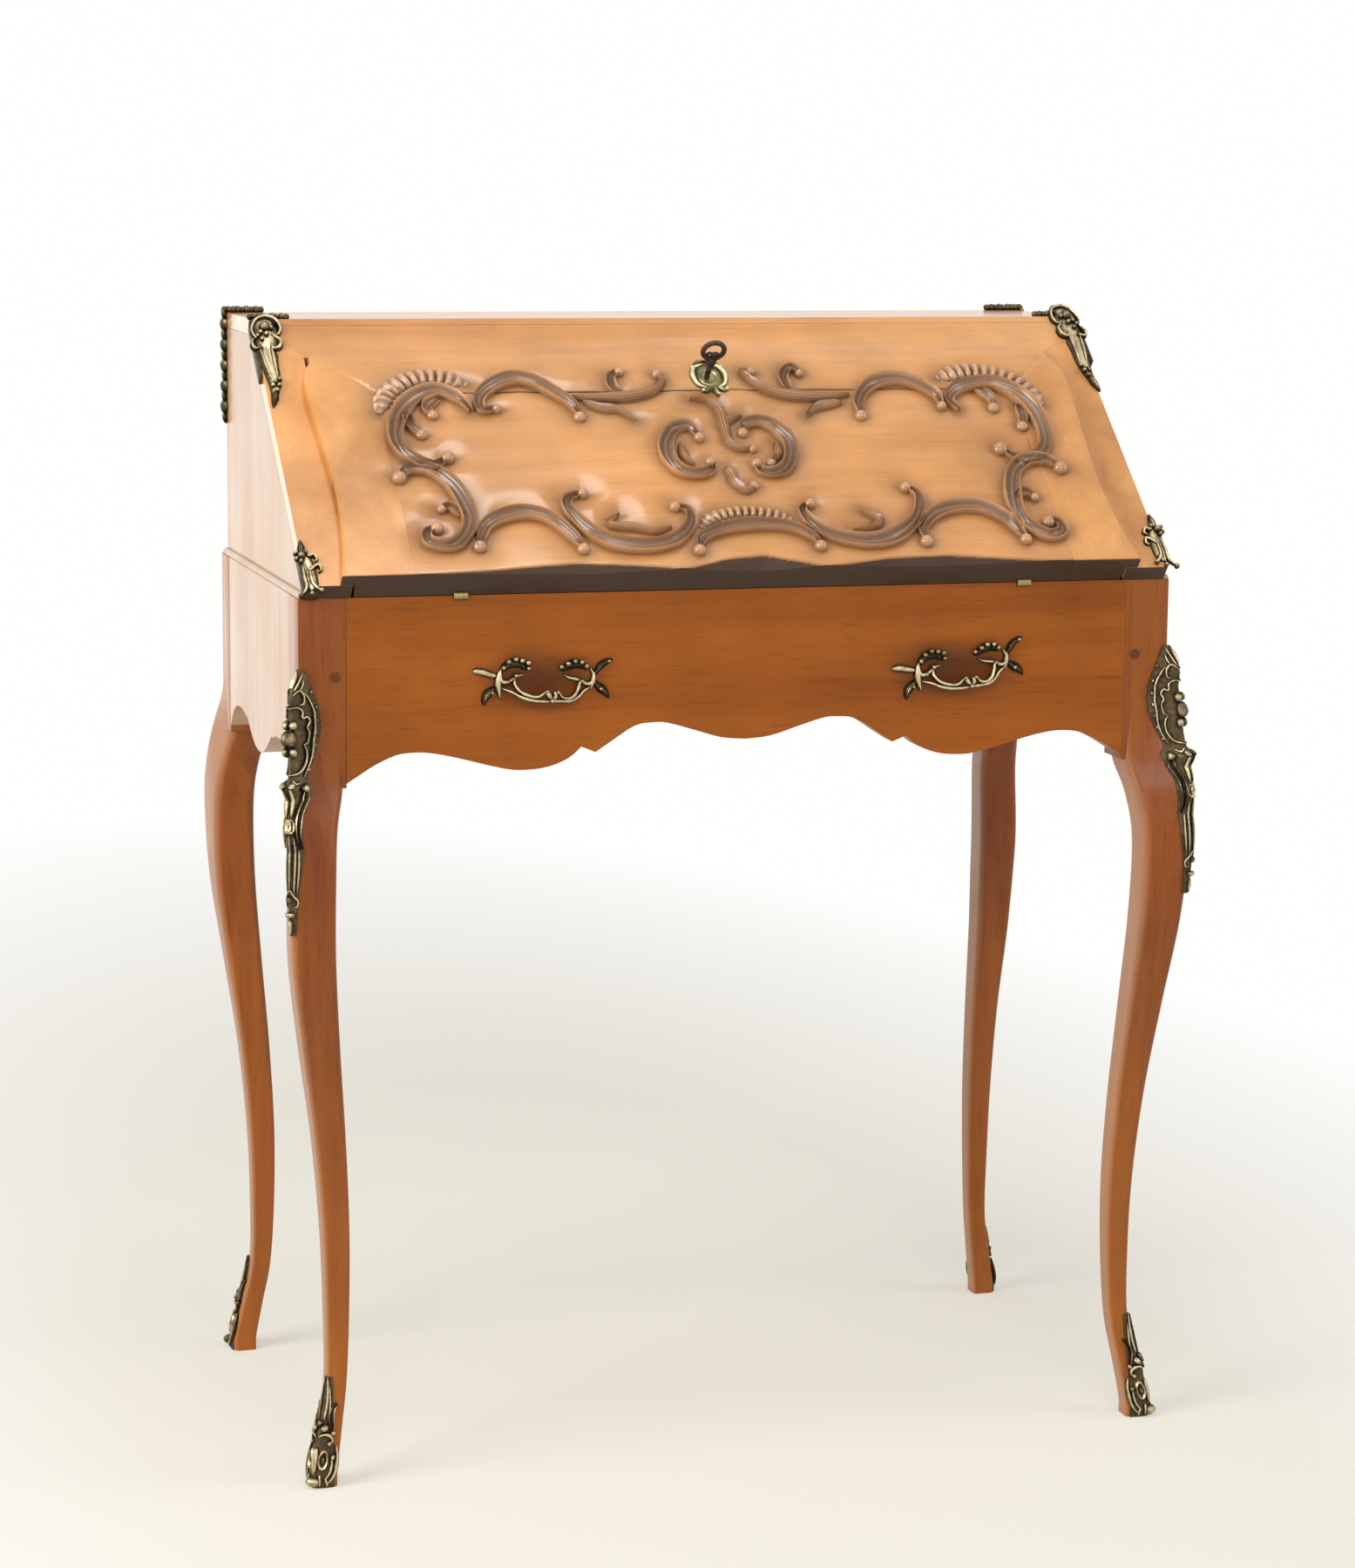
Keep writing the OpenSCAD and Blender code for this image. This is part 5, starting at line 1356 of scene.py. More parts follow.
PULL = Casting((
    Stroke(((-35.7, 8.0), (-33, 12.6), (-27, 15.6), (-20, 14.6), (-14.6, 9.4)), (2.0, 3.2, 1.8), 4.4,
        Section.LEAF),
    Stroke(((-36.8, 10.5), (-37.6, 5.5), (-36.6, 0.5), (-31.9, -0.6), (-27.2, 1.4), (-23.4, 4.2),
        (-17.4, 5.6)), (1.2, 2.0, 1.0), 5.0),
    Stroke(((-40, 4.2), (-46.9, 6.4), (-53.5, 8.6), (-61, 9.4)), (1.8, 2.5, 2.3), 4.0),
    Stroke(((-38.3, 9.0), (-39.2, 2.6), (-39.2, -4), (-37.8, -14)), (1.2, 2.9, 0.8), 5.2),
    Stroke(((-41, -5.2), (-46.4, -8.4), (-50.4, -13.4), (-51.6, -19.6)), (1.8, 3.0, 1.3), 4.2,
        Section.LEAF),
    Stroke(((-25.0, 3.8, 3), (-26.2, -1.2, 6), (-22.6, -7.2, 8.5), (-15, -11.2, 10), (-7.5, -12.4, 11),
        (-2.6, -10, 11), (0.7, -7.2, 11)), (1.1, 1.5, 1.1), 3.2, sink=1.6),
    Stroke(((-36.4, -5.6, 2), (-28.4, -8.6, 6), (-20.4, -12.8, 8.5), (-11.3, -15.4, 10),
        (-2.8, -16.4, 11), (4.4, -16.6, 11)), (0.9, 1.6, 1.3), 3.0, sink=1.6),
    Stroke(((0.5, -7.6, 11), (2.6, -12, 11), (5.4, -15, 11)), (1.6, 2.2, 1.4), 3.0, sink=1.6),
    Stroke(((7.2, -8.6, 11), (8.2, -12, 11), (5.8, -16, 11)), (1.4, 1.9, 1.2), 3.0, sink=1.6),
    Stroke(((11.4, -9.2, 11), (14.1, -13.4, 10.5), (20.7, -14.6, 9.5), (25.8, -11.4, 8.5),
        (28.8, -6.4, 7), (31, -1.8, 5), (35, -1, 3)), (1.1, 1.6, 1.0), 3.2, sink=1.6),
    Stroke(((4.6, -16.4, 11), (14, -16.8, 10.5), (22.5, -16.6, 9), (29.4, -13.4, 7), (34, -9.4, 5),
        (40.6, -6.4, 2)), (1.3, 1.6, 0.9), 3.0, sink=1.6),
    Stroke(((14.6, 8.2), (20.6, 11.4), (27.6, 13.4), (33.4, 11.8), (37.2, 8.4)), (1.8, 3.2, 1.8), 4.4,
        Section.LEAF),
    Stroke(((17.4, 4.6), (22.5, 1.8), (28.2, 0.4), (32.4, -1.4), (38.5, -4), (43, -1.6), (43.4, 4),
        (40.6, 9.4)), (1.0, 2.0, 1.2), 5.0),
    Stroke(((43, 2.6), (46.4, 6.6), (49.6, 11), (54, 14), (60.6, 16.2)), (1.4, 2.3, 1.5), 4.4,
        Section.LEAF),
    Stroke(((43.2, -2.2), (49.6, -7.6), (54.4, -12), (57.4, -17)), (1.6, 3.2, 0.8), 4.2, Section.LEAF),
    Stroke(((44.2, 6), (43.4, 0), (41, -8.6)), (1.0, 2.2, 0.8), 5.0)), (
    (-34.9, 11.8, 3, 2.3, 2.3, 2.6), (-30.4, 16.9, 3, 2.5, 2.5, 2.8), (-24.5, 19.0, 3, 2.7, 2.5, 2.8),
    (-18.8, 17.6, 3, 2.5, 2.4, 2.8), (-13.6, 15.6, 3, 2.6, 2.3, 2.6), (-13.2, 10.8, 3, 2.0, 2.0, 2.4),
    (-44.6, -9.2, 3, 1.6, 1.6, 2.2), (-31.0, -0.4, 3, 2.6, 1.9, 2.4), (-24.2, 4.8, 3, 2.2, 2.2, 3.2),
    (5.2, -16.2, 11, 2.4, 2.1, 3.4), (1.0, -8.4, 11, 2.2, 1.9, 2.6), (10.4, -9.2, 11, 2.2, 1.9, 2.6),
    (15.2, 11.4, 3, 2.3, 2.2, 2.6), (21.2, 13.9, 3, 2.5, 2.4, 2.8), (27.2, 16.0, 3, 2.6, 2.4, 2.8),
    (33.0, 15.0, 3, 2.5, 2.4, 2.8), (37.0, 11.6, 3, 2.3, 2.3, 2.6), (49.8, -8.4, 3, 1.8, 1.8, 2.2),
    (33.2, -1.2, 3, 2.4, 2.2, 3.2), (57.4, 15.0, 2, 2.0, 1.6, 1.8)), wider=1.3)
# Right means towards the middle, counted from the upper case's side, and up means up the slope
TOP_LEAF = Casting((
    Stroke(((10, 326), (9, 312), (9.4, 300), (8.4, 284)), (12.5, 12.5, 9.5), 2.4),
    Stroke(((8.4, 288), (7.6, 268), (8.4, 250), (7.4, 232), (3.0, 211.5)), (10, 6.6, 1.2), 2.4),
    Stroke(((0, 297), (-2.6, 307), (2, 319), (11, 324), (20, 320), (23, 309), (19, 301), (14, 303)),
        (1.2, 2.2, 1.3), 5.2),
    Stroke(((-1, 298), (-4.6, 291), (-2.6, 284), (2, 287)), (0.9, 1.9, 1.2), 4.4),
    Stroke(((14, 302), (20.4, 295), (19.4, 286.6), (13.6, 284), (12, 291)), (1.2, 2.6, 1.2), 4.8),
    Stroke(((12.4, 292), (12, 272), (12, 256), (12.4, 246)), (1.4, 2.0, 0.9), 3.6),
    Stroke(((1.6, 286), (3.2, 268), (5.4, 252), (7.6, 243)), (1.2, 1.8, 0.9), 3.6),
    Stroke(((7.4, 290), (7.8, 272), (9, 254)), (0.8, 1.2, 0.6), 2.8),
    Stroke(((8.4, 233), (6.4, 224), (3.0, 211.5)), (2.6, 3.4, 0.8), 3.8, Section.LEAF),
    Stroke(((17, 312), (20, 320), (17, 326)), (1.6, 2.4, 1.0), 4.0, Section.LEAF)), (
    (9, 311, 2, 4.8, 5.8, 4.6), (4.6, 303, 2, 2.4, 2.4, 3.6), (9.6, 301, 2, 2.6, 2.4, 3.8),
    (14.4, 309, 2, 2.3, 2.6, 3.4), (1.6, 299, 2, 2.0, 2.0, 3.0), (5.0, 295, 2, 1.9, 1.9, 2.6),
    (9, 241, 2, 2.3, 2.3, 3.0), (13, 244, 2, 2.3, 2.3, 3.0), (11.6, 237, 2, 2.4, 2.4, 3.0),
    (6.4, 237, 2, 2.2, 2.2, 2.8), (9.2, 231, 2, 2.2, 2.4, 2.8)))
LOW_LEAF = Casting((
    Stroke(((2, 50), (2.6, 38), (4, 26), (4.6, 14), (4.4, 4), (3.4, -4)), (1.6, 6.6, 6.4), 2.4),
    Stroke(((3, 41), (6, 33), (10.6, 34.4), (13, 30), (10.6, 27)), (0.9, 1.8, 1.3), 4.2),
    Stroke(((2, 26), (4.6, 16.6), (9, 20.4), (13.6, 22.6), (14.6, 17.4), (12, 15)), (0.9, 1.9, 1.3), 4.2),
    Stroke(((0.6, 36), (1.6, 44), (2, 52.4)), (2.6, 3.2, 0.8), 3.8, Section.LEAF),
    Stroke(((6, 24), (4.8, 12), (5.6, 2), (11, -6)), (1.3, 2.0, 1.5), 3.8),
    Stroke(((0, 24), (-0.6, 10), (-0.4, -2), (-5, -10)), (1.3, 2.0, 1.5), 3.8),
    Stroke(((3, 22), (2.2, 8), (3.2, -6)), (1.0, 1.4, 1.0), 3.2)), (
    (0, 32, 2, 3.6, 3.6, 4.2), (-4.2, 29.6, 1.5, 2.1, 2.1, 3.0), (4.2, 36, 2, 2.1, 2.1, 3.0),
    (-1, 26.4, 2, 2.1, 2.1, 3.0), (-4.4, 35.6, 1.5, 2.0, 2.0, 2.8), (11.6, -6.4, 1, 2.4, 2.2, 3.0),
    (-6, -11, 0, 2.6, 2.4, 3.2), (3.2, -9, 0, 2.2, 2.4, 3.0)))
KEY_PLATE = Casting((
    Stroke(((-3, 17), (-11.4, 12.6), (-15, 3), (-12.6, -8), (-5, -13.6)), (1.6, 3.0, 1.6), 4.2),
    Stroke(((3, 17), (11.4, 12.6), (15, 3), (12.6, -8), (5, -13.6)), (1.6, 3.0, 1.6), 4.2),
    Stroke(((-12, 14), (-6, 19.6), (0, 21.6)), (1.4, 2.4, 1.4), 3.8, Section.LEAF),
    Stroke(((12, 14), (6, 19.6), (0, 21.6)), (1.4, 2.4, 1.4), 3.8, Section.LEAF),
    Stroke(((2, -13), (2.8, -18.4), (4, -24)), (2.6, 3.4, 0.9), 3.8, Section.LEAF),
    Stroke(((-2, -13), (-5.4, -17), (-8.4, -17.6)), (2.0, 2.4, 1.2), 3.4, Section.LEAF),
    Stroke(((6, -13), (10.4, -17), (13, -16)), (2.0, 2.4, 1.2), 3.4, Section.LEAF)), (
    (0, 0, -0.6, 14.5, 19, 2.4), (-13, 11.6, 1, 2.4, 2.4, 3.0), (13, 11.6, 1, 2.4, 2.4, 3.0),
    (-9, -16.8, 1, 2.0, 2.0, 2.6), (13, -15.4, 1, 2.0, 2.0, 2.6), (4.2, -21.4, 1, 1.6, 1.8, 2.4)))


@dataclass
class Fittings:
    """The pulls, the corner mounts, the key plate and the key."""

    pulls: tuple[tuple[str, float, float, float], ...] = (
        ("left_pull", -180.0, 687.5, 0.0), ("right_pull", 193.5, 688.0, 8.5))
    # Side, then how far the casting there stands outwards, up the slope and off it
    top_leaves: tuple[tuple[int, float, float, float], ...] = ((-1, 0.0, 0.0, 0.0), (1, 4.0, 10.0, 1.0))
    low_leaves: tuple[tuple[int, float, float, float], ...] = ((-1, 0.0, 0.0, 0.0), (1, 2.0, 11.0, 0.5))
    # The plates behind the leaves, from corner to corner, and the width of their eased edges
    top_plates: tuple[tuple[Point, Point], ...] = (((-2.8, 252, -11), (0.2, 322, 0.8)),)
    low_plates: tuple[tuple[Point, Point], ...] = (
        ((-3, -3, -13), (11, 0.4, 1)), ((-3, -2, -9), (0.2, 37, 1)))
    plate_edge: float = 1.2
    # The rows of beads at a right upper corner: first and last centre, half sizes and count
    bead_rows: tuple[tuple[Point, Point, Point, int], ...] = (
        ((352, 57.5, 981.8), (384, 57.5, 981.8), (3.2, 4, 3.4), 9),
        ((352, 183.5, 982.4), (385, 183.5, 982.6), (3.4, 4.6, 3.4), 9),
        ((385.4, 183, 978), (385.4, 183.5, 885), (2.8, 6.2, 6.4), 11),
        ((379, 187.6, 978), (379, 187.6, 885), (6, 2.2, 6.4), 11))
    # The key plate's middle on the slope, how deep it is let in, and its ring: centre, half sizes, half
    # the bar's width and its height
    key_plate: tuple[float, float] = (12.0, 232.5)
    key_plate_sink: float = 0.4
    key_plate_ring: tuple[Point, tuple[float, float], float, float] = (
        (-1.6, -1.2, 0), (8.4, 9.4), 1.3, 3.6)
    # The key's bow and curls: how far they lie below its top, their half sizes and half their bars
    bow_drop: float = 11.4
    bow: tuple[float, float] = (9.6, 9.4)
    bow_bar: tuple[float, float] = (2.3, 2.4)
    curl_drop: float = 17.2
    curl: tuple[float, float] = (2.6, 2.9)
    curl_bar: tuple[float, float] = (1.3, 1.9)
    # The shank's radius and height from its tip, and the bit with the width of its eased edges
    shank: tuple[tuple[float, float], ...] = ((0, 0), (2.2, 0.2), (2.4, 1))
    bit: tuple[Point, Point] = ((-1, -6.5, 0.5), (1, 0, 4))
    bit_edge: float = 0.3
    neck_drop: float = 21.5
    # The collar's radius and height from the neck
    collar: tuple[tuple[float, float], ...] = (
        (2.4, -12), (3.6, -10.6), (4.6, -8.6), (3.4, -6.6), (3.2, -5.8), (4.8, -3.4), (5.0, -2.0),
        (3.8, -0.4), (3.2, 0.8), (2.6, 1.8), (0, 2.2))

    def leaf(self, casting: Casting, stand: tuple[int, float, float, float],
             plates: Iterable[tuple[Point, Point]]) -> Form:
        """Makes a corner's leaf with the plates behind it.

        Args:
            casting: The leaf.
            stand: Its side, and how far it stands outwards, up the slope and off the frame.
            plates: The plates, from corner to corner.

        Returns:
            The leaf, in axes that are counted from the upper case's side towards the middle.
        """
        side, out, up, lift = stand
        at = (side * (DESK.upper_half + out), up, DESK.frame_t + lift)
        form = Form(DESK.on_slope() @ Matrix.Translation(at) @ Matrix.Diagonal((-side, 1, 1, 1)))
        casting.lay(form)
        for low, high in plates:
            form.block(low, high, self.plate_edge)
        return form

    def build(self, nodes: Nodes) -> None:
        """Makes the fittings.

        Args:
            nodes: The CAD nodes by name.
        """
        for node, x, z, tilt in self.pulls:
            form = Form(DESK.on_front(x, z, tilt))
            PULL.lay(form)
            form.piece(node + "_casting", "case", BRONZE, [node], 50)
        self.top_mounts()
        low = Form(DESK.plain())
        for stand in self.low_leaves:
            low.join(self.leaf(LOW_LEAF, stand, self.low_plates))
        low.piece("slant_corner_bronzes", "case", BRONZE, ["slant_corner_mounts"], 50)
        at = (*self.key_plate, DESK.lid_t - self.key_plate_sink)
        plate = Form(DESK.on_slope() @ Matrix.Translation(at))
        KEY_PLATE.lay(plate)
        plate.oval(*self.key_plate_ring)
        plate.piece("key_plate", "lid", PALE_BRASS, ["escutcheon"], 50)
        self.key(nodes["key"])

    def top_mounts(self) -> None:
        """Makes the mounts of the four upper corners."""
        whole = Form(DESK.plain())
        for stand in self.top_leaves:
            whole.join(self.leaf(TOP_LEAF, stand, self.top_plates))
            rows = Form(DESK.plain() @ Matrix.Diagonal((stand[0], 1, 1, 1)))
            for start, end, radii, count in self.bead_rows:
                beads(rows, start, end, radii, count)
            whole.join(rows)
        whole.piece("top_corner_bronzes", "case", BRONZE, ["top_corner_mounts"], 50)

    def key(self, node: bpy.types.Object) -> None:
        """Makes the key: its bow with two small scrolls, its turned collar, its shank and its bit.

        Args:
            node: Its CAD node, which says how long it is.
        """
        place = DESK.on_slope()
        lifts = [(place.inverted() @ v.co).z for v in node.data.vertices]
        low, top = min(lifts), max(lifts)
        form = Form(place @ Matrix.Translation((DESK.lock_x, DESK.lock_s, 0)))
        form.hoop((0, 0, top - self.bow_drop), self.bow, self.bow_bar)
        for side in (-1, 1):
            form.hoop((side * self.curl[0], 0, top - self.curl_drop), self.curl, self.curl_bar, 20)
        shank = [(r, low + up) for r, up in self.shank]
        collar = [(r, top - self.neck_drop + up) for r, up in self.collar]
        form.turned(shank + collar, Matrix.Identity(4))
        start, end = ((x, y, low + up) for x, y, up in self.bit)
        form.block(start, end, self.bit_edge)
        form.piece("door_key", "key", IRON, ["key"], 45)


@dataclass(frozen=True)
class Scroll:
    """A carved scroll: its line on the slope, its half widths along it, its height and its balls."""

    line: tuple[tuple[float, float], ...]
    widths: tuple[float, float, float]
    height: float = 6.0
    eye: float = 0.0
    root: float = 0.0
    section: Section = Section.LIPPED


@dataclass
class Carving:
    """The carved frame of scrolls and its medallion on the lid."""

    scrolls: tuple[Scroll, ...] = (
        Scroll(((-212, 194), (-218, 206), (-230, 217), (-244, 219), (-262, 208), (-276, 189), (-283, 166),
            (-281, 147), (-271, 134), (-256, 127), (-242, 137)), (4, 7.4, 4), 7, 7),
        Scroll(((-236, 212), (-250, 200), (-246, 190)), (3, 5, 3), 5, 5.5),
        Scroll(((-270, 194), (-268, 178), (-260, 166)), (2.5, 4.5, 3), 5, 6),
        Scroll(((-288, 114), (-277, 124), (-260, 122), (-246, 107), (-238, 84), (-236, 61), (-246, 41),
            (-259, 32), (-275, 37), (-275, 49), (-266, 53)), (5, 7, 4), 7, 6.5, 7),
        Scroll(((-241, 68), (-250, 78), (-258, 76)), (3, 4, 2.5), 5, 4.5),
        Scroll(((-233, 31), (-224, 54), (-205, 66), (-185, 69), (-167, 62), (-153, 45), (-144, 26)),
            (4, 6.5, 4), 6.5, 6, 6.5),
        Scroll(((-132, 91), (-147, 85), (-147, 68), (-134, 45), (-113, 30), (-84, 27), (-60, 35),
            (-44, 53), (-43, 69), (-54, 73)), (3.5, 7, 3.5), 7, 5.5, 5.5),
        Scroll(((-105, 67), (-115, 54), (-94, 50), (-78, 45), (-62, 50)), (2, 4.5, 2), 5,
            section=Section.LEAF),
        Scroll(((-188, 196), (-201, 195), (-202, 208), (-191, 222), (-169, 233), (-150, 229), (-133, 215),
            (-120, 200), (-116, 185)), (3.5, 6.5, 4), 6.5, 6, 5),
        Scroll(((-118, 210), (-96, 209), (-71, 209), (-47, 215), (-33, 228), (-35, 238)), (3, 5.5, 3), 6,
            5, section=Section.LEAF),
        Scroll(((-70, 212), (-79, 221), (-78, 235), (-69, 242)), (3, 4, 2.5), 5, 5),
        Scroll(((-109, 205), (-96, 197), (-79, 193), (-66, 181)), (3.5, 5, 1.2), 4.5,
            section=Section.LEAF),
        Scroll(((-14, 157), (-20, 172), (-35, 168), (-46, 150), (-47, 129), (-38, 115), (-23, 112),
            (-10, 119), (-10, 127)), (4, 6.4, 4), 7, 5.6, 5.6),
        Scroll(((-33, 150), (-32, 134), (-25, 124)), (2, 4, 1.5), 5, section=Section.LEAF),
        Scroll(((236, 189), (230, 203), (244, 218), (272, 223), (292, 213), (305, 192), (309, 166),
            (306, 145), (294, 130), (276, 126), (262, 139)), (4, 8, 4), 7, 7.5),
        Scroll(((258, 219), (270, 203), (270, 192)), (3, 5, 3), 5, 6),
        Scroll(((293, 195), (294, 180), (291, 168)), (2.5, 4.5, 3), 5, 6),
        Scroll(((312, 114), (300, 124), (282, 124), (267, 111), (258, 87), (255, 59), (261, 42),
            (278, 30), (292, 37), (289, 47), (281, 47)), (5, 7, 4), 7, 6.5, 7),
        Scroll(((260, 80), (270, 84), (277, 78)), (3, 4, 2.5), 5, 4.5),
        Scroll(((255, 27), (248, 44), (239, 56), (221, 67), (198, 67), (178, 59), (164, 44), (163, 27)),
            (4, 6.5, 4), 6.5, 6.5, 6),
        Scroll(((160, 92), (168, 84), (168, 71), (158, 51), (135, 33), (109, 27), (80, 35), (64, 50),
            (59, 67), (68, 74)), (3.5, 7, 3.5), 7, 5.5, 5.5),
        Scroll(((113, 66), (126, 55), (117, 44), (99, 41)), (2, 4.5, 2), 5, section=Section.LEAF),
        Scroll(((221, 194), (218, 209), (203, 223), (183, 229), (160, 222), (145, 204), (142, 183)),
            (3.5, 6.5, 4), 6.5, 6, 5),
        Scroll(((137, 210), (104, 207), (72, 212), (54, 225), (44, 241), (52, 240)), (3, 5.5, 3), 6, 5,
            section=Section.LEAF),
        Scroll(((83, 214), (81, 234), (91, 246), (97, 238)), (3, 4, 2.5), 5, 4.5),
        Scroll(((128, 201), (104, 195), (91, 183)), (3.5, 5, 1.2), 4.5, section=Section.LEAF),
        Scroll(((27, 162), (32, 173), (45, 176), (57, 169), (66, 153), (65, 135), (56, 118), (44, 112),
            (33, 115), (31, 124)), (4, 6.4, 4), 7, 5.6, 5.6),
        Scroll(((54, 150), (53, 134), (45, 125)), (2, 4, 1.5), 5, 5, section=Section.LEAF),
        Scroll(((-12, 206), (4, 204), (12, 190), (12, 170), (12, 152), (20, 143), (32, 142)),
            (1.5, 5, 2.5), 6, 4.5, section=Section.LEAF),
        Scroll(((10, 172), (20, 180), (31, 184)), (2.5, 4, 1.2), 4.5, section=Section.LEAF),
        Scroll(((-43, 22), (-37, 36), (-22, 44), (0, 49), (22, 50), (44, 46), (60, 36), (66, 24)),
            (3.5, 6, 3.5), 6.5, 6, 6),
        Scroll(((5, 122), (6, 106), (14, 92), (23, 98)), (4.5, 5, 3), 5, 5, section=Section.LEAF))
    combs: tuple[tuple[tuple[tuple[float, float], ...], float, int], ...] = (
        (((-292, 194), (-284, 215), (-270, 229), (-250, 238), (-230, 238), (-208, 229)), 10.5, 13),
        (((226, 232), (258, 241), (287, 235), (307, 219), (318, 196)), 10.5, 14),
        (((-36, 50), (-22, 61), (0, 67), (22, 66), (48, 58)), 7.5, 13))
    wider: float = 1.2
    bed_drop: float = 2.2
    # A scroll's least height, the spacing of its rings, its depth in the bed and the lift of its balls
    least: float = 1.6
    spacing: float = 2.0
    sink: float = 1.8
    ball_lift: float = 0.8
    # A comb's section, its height in a flute, how much more it is on a tooth, how much narrower it is in
    # a flute, its share at both tips, how quickly it widens from them, and its depth in the bed
    comb_marks: tuple[float, ...] = (0.0, 0.75, 0.95, 1.0, 0.9, 0.7, 0.0)
    flute_height: float = 1.2
    tooth_height: float = 4.6
    flute_loss: float = 0.2
    comb_tip: float = 0.3
    comb_speed: float = 6.0
    comb_sink: float = 1.6

    def bed(self) -> list[tuple[float, float]]:
        """Points along every scroll, for what lies round the carving.

        Returns:
            The points, as x and s.
        """
        out: list[tuple[float, float]] = []
        for scroll in self.scrolls:
            out += [(p[0], p[1]) for p in even(scroll.line, 4.0)]
        for line, _, _ in self.combs:
            out += [(p[0], p[1]) for p in even(line, 4.0)]
        return out

    def scroll(self, form: Form, s: Scroll) -> None:
        """Adds one scroll with its balls.

        Args:
            form: The form.
            s: The scroll.
        """
        form.band([(x, y, 0) for x, y in s.line], taper([w * self.wider for w in s.widths], 0.45, 0.45, 9),
                  arch(s.height, self.least), s.section, self.spacing, self.sink)
        for size, at in ((s.eye, s.line[-1]), (s.root, s.line[0])):
            if size:
                form.ball((*at, self.ball_lift), (size, size, s.height), around=18)

    def comb(self, form: Form, line: Sequence[Point], width: float, teeth: int) -> None:
        """Adds a fluted edge along a line.

        Args:
            form: The form.
            line: The line.
            width: Half its width.
            teeth: How many teeth it has.
        """
        path = even(line, 1.0)
        last = len(path) - 1
        marks = self.comb_marks
        spreads = [2 * j / (len(marks) - 1) - 1 for j in range(len(marks))]
        waves = [abs(math.cos(math.pi * teeth * i / last)) for i in range(last + 1)]
        rings: list[Ring] = []
        for i, (at, wave) in enumerate(zip(path, waves)):
            end = min(1.0, self.comb_speed * min(i, last - i) / last + self.comb_tip)
            w = width * end * (1 - self.flute_loss + self.flute_loss * wave)
            top = (self.flute_height + self.tooth_height * wave) * end
            rings.append(crosswise(Vector((*at, 0)), sideways(path, i), w, spreads,
                                   [mark * top for mark in marks], self.comb_sink))

        def crest(co: Vector) -> float:
            """1 on top of a tooth, and 0 in a flute or at the bed."""
            i = min(range(last + 1), key=lambda k: (Vector(path[k]) - co.xy).length_squared)
            return 0.95 * waves[i] ** 1.5 * min(1.0, max(0.0, co.z / 2))

        held = len(form.bm.verts)
        form.loft(rings)
        form.rub(crest, form.newest(held))

    def build(self) -> None:
        """Carves the relief."""
        form = Form(DESK.on_slope() @ Matrix.Translation((0, 0, DESK.lid_t - self.bed_drop)))
        for s in self.scrolls:
            self.scroll(form, s)
        for line, width, teeth in self.combs:
            self.comb(form, line, width, teeth)
        form.piece("lid_relief", "lid", CARVED, ["lid_carving"], 50)


